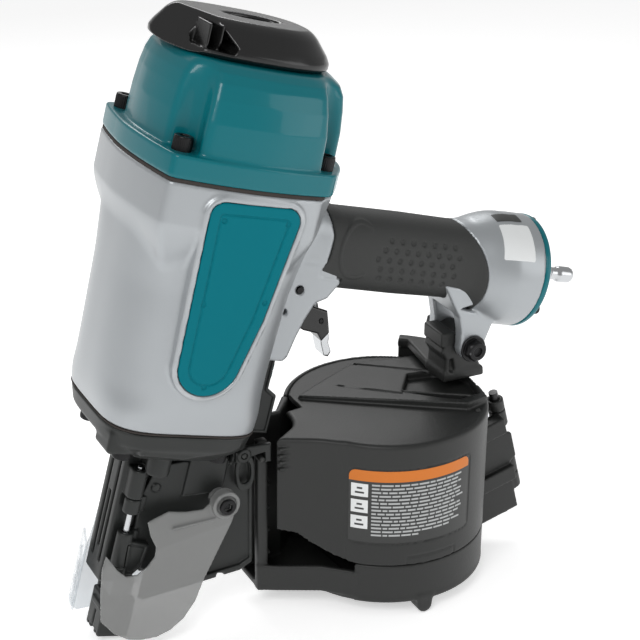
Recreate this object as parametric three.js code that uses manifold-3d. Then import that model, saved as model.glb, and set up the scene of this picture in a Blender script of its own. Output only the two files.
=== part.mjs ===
// Pneumatic coil nailer, millimetres, +Z up, standing on its nose tip and on the two feet of its canister.
// +X runs from the nose to the air plug and -Y is the tool's left side.
import * as THREE from 'three';
import { mergeVertices } from 'three/addons/utils/BufferGeometryUtils.js';
import Module from 'manifold-3d';

const wasm = await Module();
wasm.setup();

// Driving dimensions
const GAP = 0.3;                    // running and seating clearance between neighbouring pieces
const LEAN = THREE.MathUtils.degToRad(15);   // driver axis leans back as far as the nails are collated
const TAU = Math.PI * 2;

const BOLT_REACH = 43;              // head bolts stand on the corners of a square
const GASKET_Z = 298.6;             // head joint, measured up the driver axis
const CAP_Z = 300.2;
const FLANGE_TOP_Z = 313;
const DOME_TOP_Z = 361;
const DEFLECTOR_TOP_Z = 381;
const BODY_BOTTOM_Z = 152.4;
const NOSE_TOP_Z = 150.7;

const BORE_R = 26;                  // driving cylinder
const SLEEVE_R = 28.8;
const CHAMBER_R = 41;

const HANDLE_Z = 258;
const GRIP_FRONT_X = 84;
const GRIP_REAR_X = 178;
const GRIP_HALF_WIDTH = 20.5;
const GRIP_HALF_HEIGHT = 23.5;
const GRIP_WALL = 3.2;
const REAR_Z = 255.3;
const REAR_RIM_X = 219.9;
const REAR_R = 35.6;
const PLUG_END_X = 267;

const TRIGGER_PIVOT = [61.3, 234.9];
const TRIGGER_HALF_WIDTH = 8;
const LUG_INSIDE_Y = 13;
const LUG_OUTSIDE_Y = 20;
const VALVE_X = 84;

const SIDE_DRAFT = THREE.MathUtils.degToRad(3.8);
const SIDE_PLATE_BASE = { y: 52, z: 178 };

const DOOR_HINGE = [-12, -18];
const TIP_HALF = 9;
const TIP_BOTTOM_Z = Math.tan(LEAN) * TIP_HALF;

const CAN = { x: 188.9, y: -1.75, radius: 64.3, wall: 2.6, bottom: 9.7, seam: 36, top: 118.5 };
const HINGE_FOOT = [286, 41];       // rear hinge of the canister, leaning forward at its top
const HINGE_HEAD = [268.5, 106];
const HINGE_R = 3;
const ARM_BOLT = [192.4, 207.5];

// Materials
function finish(color, roughness, metalness = 0) {
  return new THREE.MeshStandardMaterial({ color, roughness, metalness });
}
const silverPaint = finish(0xb9bec3, 0.38, 0.6);
const tealPaint = finish(0x08727a, 0.3, 0.1);
const blackPlastic = finish(0x2d2e2c, 0.5);
const blackMetal = finish(0x232423, 0.45, 0.5);
const gripRubber = finish(0x3a3a3a, 0.8);
const sealRubber = finish(0x1b1b1b, 0.9);
const brightSteel = finish(0xc8cacc, 0.25, 1);
const boltSteel = finish(0x1d1d1e, 0.4, 0.8);
const machinedAluminium = finish(0xb4b7ba, 0.35, 0.9);
const amberBumper = finish(0x9b3b22, 0.6);
const clearShield = finish(0xaab3b8, 0.15);

// Solids
function solidOf(geometry) {
  const bare = geometry.clone();
  bare.deleteAttribute('normal');
  bare.deleteAttribute('uv');
  const merged = mergeVertices(bare, 1e-4);
  return new wasm.Manifold(new wasm.Mesh({
    numProp: 3,
    vertProperties: new Float32Array(merged.attributes.position.array),
    triVerts: new Uint32Array(merged.index.array),
  }));
}

function geometryOf(solid) {
  const mesh = solid.getMesh();
  const geometry = new THREE.BufferGeometry();
  geometry.setAttribute('position', new THREE.BufferAttribute(new Float32Array(mesh.vertProperties), 3));
  geometry.setIndex(new THREE.BufferAttribute(new Uint32Array(mesh.triVerts), 1));
  return geometry;
}

function join(...pieces) {
  return geometryOf(pieces.map(solidOf).reduce((whole, piece) => whole.add(piece)));
}

function cut(piece, ...tools) {
  return geometryOf(tools.map(solidOf).reduce((whole, tool) => whole.subtract(tool), solidOf(piece)));
}

function box(x0, x1, y0, y1, z0, z1) {
  const geometry = new THREE.BoxGeometry(x1 - x0, y1 - y0, z1 - z0);
  return geometry.translate((x0 + x1) / 2, (y0 + y1) / 2, (z0 + z1) / 2);
}

// An upright prism from an outline of [x, y] points
function prism(outline, z0, z1) {
  const shape = new THREE.Shape(outline.map(([x, y]) => new THREE.Vector2(x, y)));
  const geometry = new THREE.ExtrudeGeometry(shape, { depth: z1 - z0, bevelEnabled: false });
  return geometry.translate(0, 0, z0);
}

// A plate standing in the XZ plane from an outline of [x, z] points
function plate(outline, y0, y1) {
  return prism(outline, 0, y1 - y0).rotateX(Math.PI / 2).translate(0, y1, 0);
}

// A round bar between two points
function rod(from, to, radius, segments = 10) {
  const start = new THREE.Vector3(...from);
  const end = new THREE.Vector3(...to);
  const run = end.clone().sub(start);
  const turn = new THREE.Quaternion().setFromUnitVectors(new THREE.Vector3(0, 1, 0), run.clone().normalize());
  const geometry = new THREE.CylinderGeometry(radius, radius, run.length(), segments);
  geometry.applyQuaternion(turn);
  const middle = start.add(end).multiplyScalar(0.5);
  return geometry.translate(middle.x, middle.y, middle.z);
}

// A turned piece about Z from a closed profile of [radius, z] points, in either sense
function turned(profile, segments = 24) {
  const points = profile.map(([r, z]) => new THREE.Vector2(r, z));
  if (THREE.ShapeUtils.area(points) < 0) {
    points.reverse();
  }
  points.push(points[0].clone());
  return new THREE.LatheGeometry(points, segments).rotateX(Math.PI / 2);
}

function tube(outside, inside, z0, z1, segments = 24) {
  return turned([[inside, z0], [outside, z0], [outside, z1], [inside, z1]], segments);
}

// A rounded square of unequal front and rear reach; a higher power gives squarer corners
function squircle(front, rear, half, power, count = 20) {
  return Array.from({ length: count }, (_, i) => {
    const angle = (i / count) * TAU;
    const across = Math.cos(angle);
    const along = Math.sin(angle);
    const reach = across > 0 ? rear : front;
    const radius = (Math.abs(across / reach) ** power + Math.abs(along / half) ** power) ** (-1 / power);
    return [radius * across, radius * along];
  });
}

// A skinned solid through outlines of equal point count, each at its own height
function loft(levels) {
  const count = levels[0].outline.length;
  const position = levels.flatMap(({ at, outline }) => outline.flatMap(([x, y]) => [x, y, at]));
  const index = [];
  for (let level = 0; level + 1 < levels.length; level += 1) {
    for (let i = 0; i < count; i += 1) {
      const a = level * count + i;
      const b = level * count + (i + 1) % count;
      index.push(a, b, b + count, a, b + count, a + count);
    }
  }
  const top = (levels.length - 1) * count;
  for (let i = 1; i + 1 < count; i += 1) {
    index.push(0, i + 1, i);
    index.push(top, top + i, top + i + 1);
  }
  const geometry = new THREE.BufferGeometry();
  geometry.setAttribute('position', new THREE.Float32BufferAttribute(position, 3));
  geometry.setIndex(index);
  return geometry;
}

// Turns a loft made up Z so that it runs along X, with outlines of [y, z] points
function alongX(geometry) {
  const turn = new THREE.Matrix4().makeBasis(
    new THREE.Vector3(0, 1, 0), new THREE.Vector3(0, 0, 1), new THREE.Vector3(1, 0, 0));
  return geometry.applyMatrix4(turn);
}

function shifted(outline, dx, dy) {
  return outline.map(([x, y]) => [x + dx, y + dy]);
}

function arc(cx, cy, radius, from, to, count) {
  return Array.from({ length: count + 1 }, (_, i) => {
    const angle = THREE.MathUtils.degToRad(from + (to - from) * (i / count));
    return [cx + radius * Math.cos(angle), cy + radius * Math.sin(angle)];
  });
}

class Helix extends THREE.Curve {
  constructor(radius, start, end, turns) {
    super();
    Object.assign(this, { radius, start, end, turns });
  }

  getPoint(t, target = new THREE.Vector3()) {
    const angle = t * this.turns * TAU;
    const height = this.start + (this.end - this.start) * t;
    return target.set(this.radius * Math.cos(angle), this.radius * Math.sin(angle), height);
  }
}

// A coil spring about Z
function spring(radius, wire, z0, z1, turns) {
  const section = new THREE.Shape(arc(0, 0, wire, 0, 270, 3).map(([x, y]) => new THREE.Vector2(x, y)));
  const path = new Helix(radius, z0 + wire * 1.4, z1 - wire * 1.4, turns);
  return new THREE.ExtrudeGeometry(section, { steps: turns * 8, bevelEnabled: false, extrudePath: path });
}

// Scene graph: the tool leans with its driver axis, the canister stands upright
const model = new THREE.Group();
const tool = new THREE.Group();
const canister = new THREE.Group();
tool.rotation.y = LEAN;
model.add(tool, canister);

function add(group, name, geometry, material) {
  const mesh = new THREE.Mesh(geometry, material);
  mesh.name = name;
  group.add(mesh);
  return mesh;
}

// Head: cap, gasket, bolts, exhaust deflector and head valve
const CORNERS = [[-1, -1], [1, -1], [1, 1], [-1, 1]];
const VALVE_RING_R = CHAMBER_R - 1.5;
const CAP_ROOF_Z = 346;

function headCap() {
  const flange = prism(squircle(57, 66, 61, 6.3), CAP_Z, FLANGE_TOP_Z);
  const dome = loft([
    { at: FLANGE_TOP_Z - 1, outline: squircle(51, 62, 53, 4.2) },
    { at: 345, outline: squircle(49.5, 61, 52, 4.2) },
    { at: 355, outline: squircle(47, 58, 49, 4) },
    { at: DOME_TOP_Z, outline: squircle(41, 51, 43, 3.6) },
  ]);
  const chamber = rod([0, 0, CAP_Z - 1], [0, 0, CAP_ROOF_Z], CHAMBER_R - 1, 24);
  const screwHole = rod([0, 0, CAP_ROOF_Z - 1], [0, 0, DOME_TOP_Z + 1], 3 + GAP, 8);
  const ports = [45, 135, 225, 315].map((angle) => {
    const [[x, y]] = arc(0, 0, 20, angle, angle, 1);
    return rod([x, y, CAP_ROOF_Z - 1], [x, y, DOME_TOP_Z + 1], 6, 8);
  });
  const boltWells = CORNERS.flatMap(([i, j]) => {
    const [x, y] = [i * BOLT_REACH, j * BOLT_REACH];
    return [
      rod([x, y, FLANGE_TOP_Z], [x, y, DOME_TOP_Z + 6], 8.4, 10),
      rod([x, y, CAP_Z - 1], [x, y, FLANGE_TOP_Z + 1], 4 + GAP, 8),
    ];
  });
  return cut(join(flange, dome), chamber, screwHole, ...ports, ...boltWells);
}

function headBolt(i, j) {
  const [x, y] = [i * BOLT_REACH, j * BOLT_REACH];
  const shank = rod([x, y, 278], [x, y, FLANGE_TOP_Z + 1], 4, 8);
  const head = rod([x, y, FLANGE_TOP_Z + GAP], [x, y, FLANGE_TOP_Z + 8], 5.4, 12);
  const socket = rod([x, y, FLANGE_TOP_Z + 4], [x, y, FLANGE_TOP_Z + 9], 2.9, 6);
  return cut(join(shank, head), socket);
}

function headGasket() {
  const outline = squircle(56.5, 61, 60.5, 6.3);
  const holes = CORNERS.map(([i, j]) => {
    const [x, y] = [i * BOLT_REACH, j * BOLT_REACH];
    return rod([x, y, GASKET_Z - 1], [x, y, CAP_Z], 4 + GAP, 8);
  });
  const opening = rod([0, 0, GASKET_Z - 1], [0, 0, CAP_Z], CHAMBER_R, 24);
  return cut(prism(outline, GASKET_Z, CAP_Z - GAP), opening, ...holes);
}

const DEFLECTOR_BASE_Z = DOME_TOP_Z + GAP;

function exhaustDeflector() {
  const shell = loft([
    { at: DEFLECTOR_BASE_Z, outline: squircle(49, 45, 36, 2.5) },
    { at: 365, outline: squircle(53.5, 47.5, 38.4, 2.5) },
    { at: 373, outline: squircle(51, 44.5, 36, 2.5) },
    { at: 379, outline: squircle(46, 38.5, 30, 2.5) },
    { at: DEFLECTOR_TOP_Z, outline: squircle(40, 31, 23, 2.5) },
  ]);
  const chamber = rod([0, 0, DEFLECTOR_BASE_Z - 1], [0, 0, 369], 30, 16);
  const hub = tube(8, 3 + GAP, DEFLECTOR_BASE_Z, 370, 12);
  const mouth = box(-46, -18, -60, -12, 362.6, 375);
  const recess = rod([0, 0, 375], [0, 0, 390], 9, 12);
  const screwHole = rod([0, 0, 350], [0, 0, 390], 3 + GAP, 8);
  const fins = [-38, -31].map((x) => box(x - 1, x + 1, -23, -11, 362, 376));
  return cut(join(cut(shell, chamber, mouth), hub, ...fins), recess, screwHole);
}

function deflectorScrew() {
  const shank = rod([0, 0, CAP_ROOF_Z + 1], [0, 0, 377], 3, 12);
  const head = rod([0, 0, 375 + GAP], [0, 0, 379], 5.5, 16);
  const socket = rod([0, 0, 377], [0, 0, 380], 2.3, 6);
  return cut(join(shank, head), socket);
}

function headValve() {
  return turned([
    [12, CAP_Z - GAP], [VALVE_RING_R, CAP_Z - GAP], [VALVE_RING_R, 311], [27, 311], [24, 307], [17, 307],
    [17, 325], [12, 325],
  ], 28);
}

add(tool, 'head_cap', headCap(), tealPaint);
add(tool, 'head_gasket', headGasket(), sealRubber);
CORNERS.forEach(([i, j], index) => add(tool, `head_bolt_${index + 1}`, headBolt(i, j), boltSteel));
add(tool, 'exhaust_deflector', exhaustDeflector(), blackPlastic);
add(tool, 'deflector_screw', deflectorScrew(), boltSteel);
add(tool, 'head_valve', headValve(), blackPlastic);
add(tool, 'head_valve_spring', spring(20.5, 1.2, 307 + GAP, CAP_ROOF_Z - GAP, 5), brightSteel);

// Driving cylinder
const PISTON_TOP_Z = 297;
const PISTON_BOTTOM_Z = 285;
const DRIVER_TIP_Z = 104;

function cylinderSleeve() {
  return turned([
    [BORE_R, BODY_BOTTOM_Z + GAP], [SLEEVE_R, BODY_BOTTOM_Z + GAP], [SLEEVE_R, 234], [CHAMBER_R - GAP, 234],
    [CHAMBER_R - GAP, 242], [SLEEVE_R, 242], [SLEEVE_R, CAP_Z - 2 * GAP], [BORE_R, CAP_Z - 2 * GAP],
  ]);
}

function piston() {
  const crown = turned([
    [0, PISTON_BOTTOM_Z + 4], [10, PISTON_BOTTOM_Z], [BORE_R - GAP, PISTON_BOTTOM_Z],
    [BORE_R - GAP, PISTON_TOP_Z], [18, PISTON_TOP_Z], [14, PISTON_TOP_Z - 3], [0, PISTON_TOP_Z - 3],
  ], 28);
  return cut(crown, box(-3.8, 3.8, -2.3, 2.3, PISTON_BOTTOM_Z - 1, 291));
}

function pistonBumper() {
  return turned([
    [6, BODY_BOTTOM_Z], [BORE_R - GAP, BODY_BOTTOM_Z], [BORE_R - GAP, 168], [20, 180], [9, 180], [6, 176],
  ], 28);
}

add(tool, 'cylinder_sleeve', cylinderSleeve(), machinedAluminium);
add(tool, 'piston', piston(), machinedAluminium);
add(tool, 'driver_blade', box(-3.5, 3.5, -2, 2, DRIVER_TIP_Z, 291 - GAP), brightSteel);
add(tool, 'piston_bumper', pistonBumper(), amberBumper);

// Main housing: barrel, handle core, rear bell, trigger lugs and the arm that holds the canister
const SIDE_OUTLINE = [
  ...arc(-16.5, 103.5, 8, 172, 95, 3), ...arc(19.5, 104.5, 8.5, 85, -10, 3), [22, 49],
  ...arc(-3, 20, 18.5, -5, -170, 6),
];

function sidePlate(outline, y0, y1, side) {
  const geometry = side < 0 ? plate(outline, y0, y1) : plate(outline, -y1, -y0);
  geometry.rotateX(-side * SIDE_DRAFT);
  return geometry.translate(0, side * SIDE_PLATE_BASE.y, SIDE_PLATE_BASE.z);
}

function grown(outline, by) {
  const [cx, cz] = [0, 62];
  return outline.map(([x, z]) => {
    const run = Math.hypot(x - cx, z - cz);
    return [x + (x - cx) / run * by, z + (z - cz) / run * by];
  });
}

function mainHousing() {
  const barrel = loft([
    { at: BODY_BOTTOM_Z, outline: squircle(46, 48, 46, 4) },
    { at: 164, outline: squircle(49, 50, 49, 3.2) },
    { at: 180, outline: squircle(50.5, 51, 50, 2.6) },
    { at: 250, outline: squircle(53, 54, 52, 2.6) },
    { at: 271, outline: squircle(57, 58, 57, 4.4) },
    { at: 284, outline: squircle(57, 61, 60, 6) },
    { at: GASKET_Z - GAP, outline: squircle(57, 62, 61, 6.3) },
  ]);
  const core = (at, halfWidth, halfHeight, z) => ({
    at, outline: shifted(squircle(halfWidth, halfWidth, halfHeight, 2.6, 16), 0, z),
  });
  const wall = GRIP_WALL + GAP;
  const handle = alongX(loft([
    core(38, 24, 24, HANDLE_Z + 8),
    core(60, 19, 19.5, HANDLE_Z + 4),
    core(GRIP_FRONT_X - 1, GRIP_HALF_WIDTH, GRIP_HALF_HEIGHT, HANDLE_Z),
    core(GRIP_FRONT_X - GAP, GRIP_HALF_WIDTH - wall, GRIP_HALF_HEIGHT - wall, HANDLE_Z),
    core(GRIP_REAR_X + GAP, GRIP_HALF_WIDTH - wall, GRIP_HALF_HEIGHT - wall, HANDLE_Z),
    core(GRIP_REAR_X + 1, GRIP_HALF_WIDTH + 2, GRIP_HALF_HEIGHT + 2, HANDLE_Z),
    core(190, 29, 30.5, HANDLE_Z - 1),
    core(202, 34, 34.6, REAR_Z),
    core(REAR_RIM_X, REAR_R, REAR_R, REAR_Z),
  ]));
  const lugOutline = [
    [38, 246], [83, 246], [83, 236], [80, 231], [73, 227], [67, 206], [64, 190], [40, 188],
  ];
  const lugs = [-1, 1].map((side) => {
    const inside = side * LUG_INSIDE_Y;
    const outside = side * LUG_OUTSIDE_Y;
    return plate(lugOutline, Math.min(inside, outside), Math.max(inside, outside));
  });
  const armOutline = [
    [166, 241], [200, 236], [202, 224], [199, 209], ...arc(...ARM_BOLT, 8, 0, -180, 6), [181, 214], [175, 228],
  ];
  const arm = plate(armOutline, -20, 20);
  const yoke = plate([[172, 226], [210, 226], [210, 190], [172, 190]], -12, 12);
  const pads = [-1, 1].map((side) => sidePlate(grown(SIDE_OUTLINE, 4), -0.8, 16, side));
  const pockets = [-1, 1].map((side) => sidePlate(grown(SIDE_OUTLINE, 0.4), -12, 0.8, side));
  const boltHoles = CORNERS.map(([i, j]) => {
    const [x, y] = [i * BOLT_REACH, j * BOLT_REACH];
    return rod([x, y, 276], [x, y, 300], 4 + GAP, 8);
  });
  const valveBoss = rod([VALVE_X, 0, 233.5], [VALVE_X, 0, HANDLE_Z - 8], 12.4, 12);
  const solids = join(barrel, handle, valveBoss, ...lugs, arm, ...pads);
  return cut(
    solids,
    rod([0, 0, 172], [0, 0, 300], CHAMBER_R, 24),
    rod([0, 0, 150], [0, 0, 173], SLEEVE_R + GAP, 24),
    rod([30, 0, HANDLE_Z], [REAR_RIM_X + 1, 0, HANDLE_Z], 12, 12),
    rod([194, 0, REAR_Z], [REAR_RIM_X + 1, 0, REAR_Z], 28, 16),
    rod([VALVE_X, 0, 226], [VALVE_X, 0, HANDLE_Z], 8.5, 12),
    rod([TRIGGER_PIVOT[0], -30, TRIGGER_PIVOT[1]], [TRIGGER_PIVOT[0], 30, TRIGGER_PIVOT[1]], 2 + GAP, 12),
    rod([ARM_BOLT[0], -30, ARM_BOLT[1]], [ARM_BOLT[0], 30, ARM_BOLT[1]], 4 + GAP, 12),
    yoke, ...pockets, ...boltHoles,
    ...rearScrewPlaces().map(([y, z]) => rod([REAR_RIM_X - 10, y, z], [REAR_RIM_X + 1, y, z], 2 + GAP, 10)),
  );
}

add(tool, 'main_housing', mainHousing(), silverPaint);
add(tool, 'side_plate_left', sidePlate(SIDE_OUTLINE, -1.6, 0.5, -1), tealPaint);
add(tool, 'side_plate_right', sidePlate(SIDE_OUTLINE, -1.6, 0.5, 1), tealPaint);

// Grip, end cap and air plug
function gripSleeve() {
  const section = (at, grow) => ({
    at,
    outline: shifted(squircle(GRIP_HALF_WIDTH + grow, GRIP_HALF_WIDTH + grow, GRIP_HALF_HEIGHT + grow, 2.6, 16),
      0, HANDLE_Z),
  });
  const outside = alongX(loft([section(GRIP_FRONT_X, 0), section(130, 0.6), section(GRIP_REAR_X, 0)]));
  const inside = alongX(loft([section(GRIP_FRONT_X - 1, -GRIP_WALL), section(GRIP_REAR_X + 1, -GRIP_WALL)]));
  const valveNotch = rod([VALVE_X, 0, 226], [VALVE_X, 0, HANDLE_Z], 12.4 + GAP, 12);
  const armNotch = box(160, GRIP_REAR_X + 1, -20 - GAP, 20 + GAP, 226, 241.6);
  return cut(outside, inside, valveNotch, armNotch);
}

function rearScrewPlaces() {
  return [90, 210, 330].map((angle) => arc(0, REAR_Z, 31.7, angle, angle, 1)[0]);
}

function endCap() {
  const disc = alongX(turned([
    [0, REAR_RIM_X + GAP], [REAR_R, REAR_RIM_X + GAP], [REAR_R, REAR_RIM_X + 2.4],
    [REAR_R - 1.6, REAR_RIM_X + 4], [0, REAR_RIM_X + 4],
  ], 24));
  const spigot = alongX(tube(27, 22, 210, REAR_RIM_X + 1, 16));
  const boss = alongX(turned([[0, REAR_RIM_X + 1], [10, REAR_RIM_X + 1], [9, 227.5], [0, 227.5]], 20));
  const raised = [disc, spigot, boss].map((piece) => piece.translate(0, 0, REAR_Z));
  const port = rod([200, 0, REAR_Z], [230, 0, REAR_Z], 5.2 + GAP, 16);
  const screwHoles = rearScrewPlaces().map(([y, z]) => rod([215, y, z], [230, y, z], 2 + GAP, 10));
  return cut(join(...raised), port, ...screwHoles);
}

function endCapScrew([y, z]) {
  const shank = rod([REAR_RIM_X - 9, y, z], [REAR_RIM_X + 5, y, z], 2, 10);
  const head = rod([REAR_RIM_X + 4 + GAP, y, z], [REAR_RIM_X + 6.5, y, z], 3.6, 14);
  const socket = rod([REAR_RIM_X + 5, y, z], [REAR_RIM_X + 8, y, z], 1.6, 6);
  return cut(join(shank, head), socket);
}

function airPlug() {
  const body = alongX(turned([
    [2.5, 214], [5.2, 214], [5.2, 228], [6.6, 228], [6.6, 234], [4.4, 235.5], [4.4, 242],
    [5.8, 244], [5.8, 248], [3.7, 250.5], [3.7, 256], [4.6, 257.5], [4.6, PLUG_END_X - 3],
    [3.8, PLUG_END_X], [2.5, PLUG_END_X],
  ], 14));
  return body.translate(0, 0, REAR_Z);
}

add(tool, 'grip_sleeve', gripSleeve(), gripRubber);
add(tool, 'end_cap', endCap(), tealPaint);
rearScrewPlaces().forEach((place, i) => add(tool, `end_cap_screw_${i + 1}`, endCapScrew(place), boltSteel));
add(tool, 'air_plug', airPlug(), brightSteel);

// Trigger and its valve
const LEVER_PIVOT = [88, 213];

function triggerPiece() {
  const [px, pz] = TRIGGER_PIVOT;
  const side = [
    ...arc(px, pz, 5.5, 30, 215, 6), [61, 215], [76, 206.5], [90, 203.5], [94, 196], [97.5, 190.5], [100.5, 192],
    [99, 200], [94, 210], [90, 218.5], [75, 221],
  ];
  const blank = plate(side, -TRIGGER_HALF_WIDTH, TRIGGER_HALF_WIDTH);
  const channel = plate([[50, 245], [91, 245], [91, 207], [76, 210], [63, 218], [50, 222]], -5.4, 5.4);
  const pivotHole = rod([px, -20, pz], [px, 20, pz], 2 + GAP, 12);
  const leverHole = rod([LEVER_PIVOT[0], -20, LEVER_PIVOT[1]], [LEVER_PIVOT[0], 20, LEVER_PIVOT[1]], 1.2 + GAP, 10);
  return cut(blank, channel, pivotHole, leverHole);
}

function triggerLever() {
  const [lx, lz] = LEVER_PIVOT;
  const outline = [...arc(lx, lz, 2.8, -60, 90, 4), [76, 218], [66, 222.5], [64.5, 220.5], [76, 213.5]];
  const hole = rod([lx, -20, lz], [lx, 20, lz], 1.2 + GAP, 10);
  return cut(plate(outline, -4.6, 4.6), hole);
}

function crossPin([x, z], radius, halfLength) {
  return rod([x, -halfLength, z], [x, halfLength, z], radius, 12);
}

function valveBody() {
  return turned([[2.5, 229], [8.2, 229], [8.2, 252], [5, 256], [2.5, 256]], 20).translate(VALVE_X, 0, 0);
}

function valveStem() {
  const stem = turned([
    [0, 218.5], [2.2, 218.5], [2.2, 256.5], [4.6, 256.8], [4.6, 260.5], [0, 260.5],
  ], 14);
  return stem.translate(VALVE_X, 0, 0);
}

add(tool, 'trigger', triggerPiece(), blackPlastic);
add(tool, 'trigger_lever', triggerLever(), brightSteel);
add(tool, 'trigger_pin', crossPin(TRIGGER_PIVOT, 2, LUG_OUTSIDE_Y + 0.6), boltSteel);
add(tool, 'trigger_lever_pin', crossPin(LEVER_PIVOT, 1.2, TRIGGER_HALF_WIDTH - 0.2), boltSteel);
add(tool, 'trigger_valve_body', valveBody(), blackPlastic);
add(tool, 'trigger_valve_stem', valveStem(), machinedAluminium);

// Nose casting, its gasket and bolts
const NOSE_BOLT_PLACES = [[-30, -27], [30, -27], [30, 27], [-30, 27]];
const COLUMN = { front: -19, rear: 16, half: 12, bottom: 41 };
const CHANNEL_HALF = 5;
const LEFT_SHIELD_BOSS = [43, 101];
const RIGHT_SHIELD_BOSS = [43, 88];

function noseBody() {
  const flange = loft([
    { at: 130, outline: squircle(29, 36, 34, 4) },
    { at: 140, outline: squircle(44, 47, 44, 4) },
    { at: NOSE_TOP_Z, outline: squircle(46, 48, 46, 4) },
  ]);
  const column = box(COLUMN.front, COLUMN.rear, -COLUMN.half, COLUMN.half, COLUMN.bottom, 136);
  const farWall = plate([[14, 38], [70, 53], [79, 58.6], [60, 130], [48, 136], [10, 136]],
    CHANNEL_HALF, COLUMN.half - 1);
  const knuckleWeb = (z0, z1) => join(
    rod([...DOOR_HINGE, z0], [...DOOR_HINGE, z1], 5, 16), box(-17, -7, -17, -8, z0, z1));
  const spindle = rod([0, 0, COLUMN.bottom - 1], [0, 0, NOSE_TOP_Z + 1], 5, 20);
  const feedSlot = box(0, COLUMN.rear + 1, -COLUMN.half - 1, CHANNEL_HALF, COLUMN.bottom - 1, 112);
  const pinHole = rod([...DOOR_HINGE, 40], [...DOOR_HINGE, 121], 1.8 + GAP, 12);
  const boltHoles = NOSE_BOLT_PLACES.map(([x, y]) => rod([x, y, 120], [x, y, 152], 3 + GAP, 12));
  const boltWells = NOSE_BOLT_PLACES.map(([x, y]) => rod([x, y, 120], [x, y, 137], 6.4, 14));
  const pawlSlot = plate([[8, 60], [37, 68], [37, 91], [8, 84]], CHANNEL_HALF - 1, COLUMN.half + 1);
  const [bossX, bossZ] = RIGHT_SHIELD_BOSS;
  const screwHole = rod([bossX, 0, bossZ], [bossX, 30, bossZ], 2 + GAP, 10);
  return cut(
    join(flange, column, farWall, knuckleWeb(100, 118), knuckleWeb(48, 56)),
    spindle, feedSlot, pinHole, ...boltHoles, ...boltWells, pawlSlot, screwHole,
  );
}

function noseBolt([x, y]) {
  const shank = rod([x, y, 131], [x, y, 150.4], 3, 12);
  const head = rod([x, y, 129], [x, y, 137 - GAP], 5.5, 14);
  const socket = rod([x, y, 128], [x, y, 132.5], 2.6, 6);
  return cut(join(shank, head), socket);
}

function baseGasket() {
  const opening = rod([0, 0, 150], [0, 0, 153], 24, 24);
  return cut(prism(squircle(45.5, 47.5, 45.5, 4), NOSE_TOP_Z + GAP, BODY_BOTTOM_Z - GAP), opening);
}

add(tool, 'nose_body', noseBody(), blackMetal);
add(tool, 'base_gasket', baseGasket(), sealRubber);
NOSE_BOLT_PLACES.forEach((place, i) => add(tool, `nose_bolt_${i + 1}`, noseBolt(place), boltSteel));

// Drive guide: the hardened strip in front of the nails, below the column
function driveGuide() {
  const outside = box(-8, 7, -7, 7, 12, COLUMN.bottom - GAP);
  const bore = rod([0, 0, 10], [0, 0, 45], 4.6, 16);
  return cut(outside, bore);
}
add(tool, 'drive_guide', driveGuide(), brightSteel);

// Contact arm: nose tip that touches the work, with a strap up the right side to the trigger
const STRAP_INSIDE_Y = 13.2;
const STRAP_OUTSIDE_Y = 15.7;
const LINK_X = 60;

function contactArm() {
  const ring = cut(box(-11, TIP_HALF, -10, 10, TIP_BOTTOM_Z, 28), box(-8.4, 7.4, -7.4, 7.4, -5, 40));
  const teeth = [-6, -2, 2, 6].map((y) => box(-12, 10, y - 0.7, y + 0.7, TIP_BOTTOM_Z - 1, TIP_BOTTOM_Z + 2));
  const frontSlit = box(-12, -8, -1, 1, TIP_BOTTOM_Z - 1, 16);
  const foot = box(-6, 6, 9, STRAP_OUTSIDE_Y, 18, 28);
  const strap = plate([
    [-6, 18], [6, 18], [6, 88], [12, 98], [56, 104], [LINK_X + 4, 108], [LINK_X + 4, 174], [LINK_X - 4, 174],
    [LINK_X - 4, 114], [8, 107], [-6, 92],
  ], STRAP_INSIDE_Y, STRAP_OUTSIDE_Y);
  const tab = box(LINK_X - 4, LINK_X + 4, -4, STRAP_INSIDE_Y + 1, 166, 172);
  const link = rod([LINK_X, 0, 168], [LINK_X, 0, 200], 3, 16);
  return join(cut(ring, ...teeth, frontSlit), foot, strap, tab, link);
}

function depthWheel() {
  const knurled = Array.from({ length: 24 }, (_, i) => {
    const [[x, y]] = arc(0, 0, i % 2 ? 7.4 : 6.6, i * 15, i * 15, 1);
    return [x, y];
  });
  const wheel = cut(prism(knurled, 173, 183), rod([0, 0, 170], [0, 0, 190], 3 + GAP, 16));
  return wheel.translate(LINK_X, 0, 0);
}

function armGuide() {
  const wall = plate([[52, 141], [67, 141], [67, 166], [61, 170], [61, 197], [66, 201], [54, 201], [54, 170],
    [52, 166]], -12, -9.6);
  const upper = box(54, 66, -12, 10, 197, 201);
  const lower = box(52, 67, -12, 8, 141, 145);
  return cut(join(wall, upper, lower), rod([LINK_X, 0, 190], [LINK_X, 0, 205], 3 + GAP, 16));
}

add(tool, 'contact_arm', contactArm(), blackMetal);
add(tool, 'depth_wheel', depthWheel(), tealPaint);
add(tool, 'arm_guide', armGuide(), blackMetal);

// Feed door on the left of the nose, its hinge pin, its latch and the clear debris shields
const LATCH_PIVOT = [51.2, 129.7];

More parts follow.
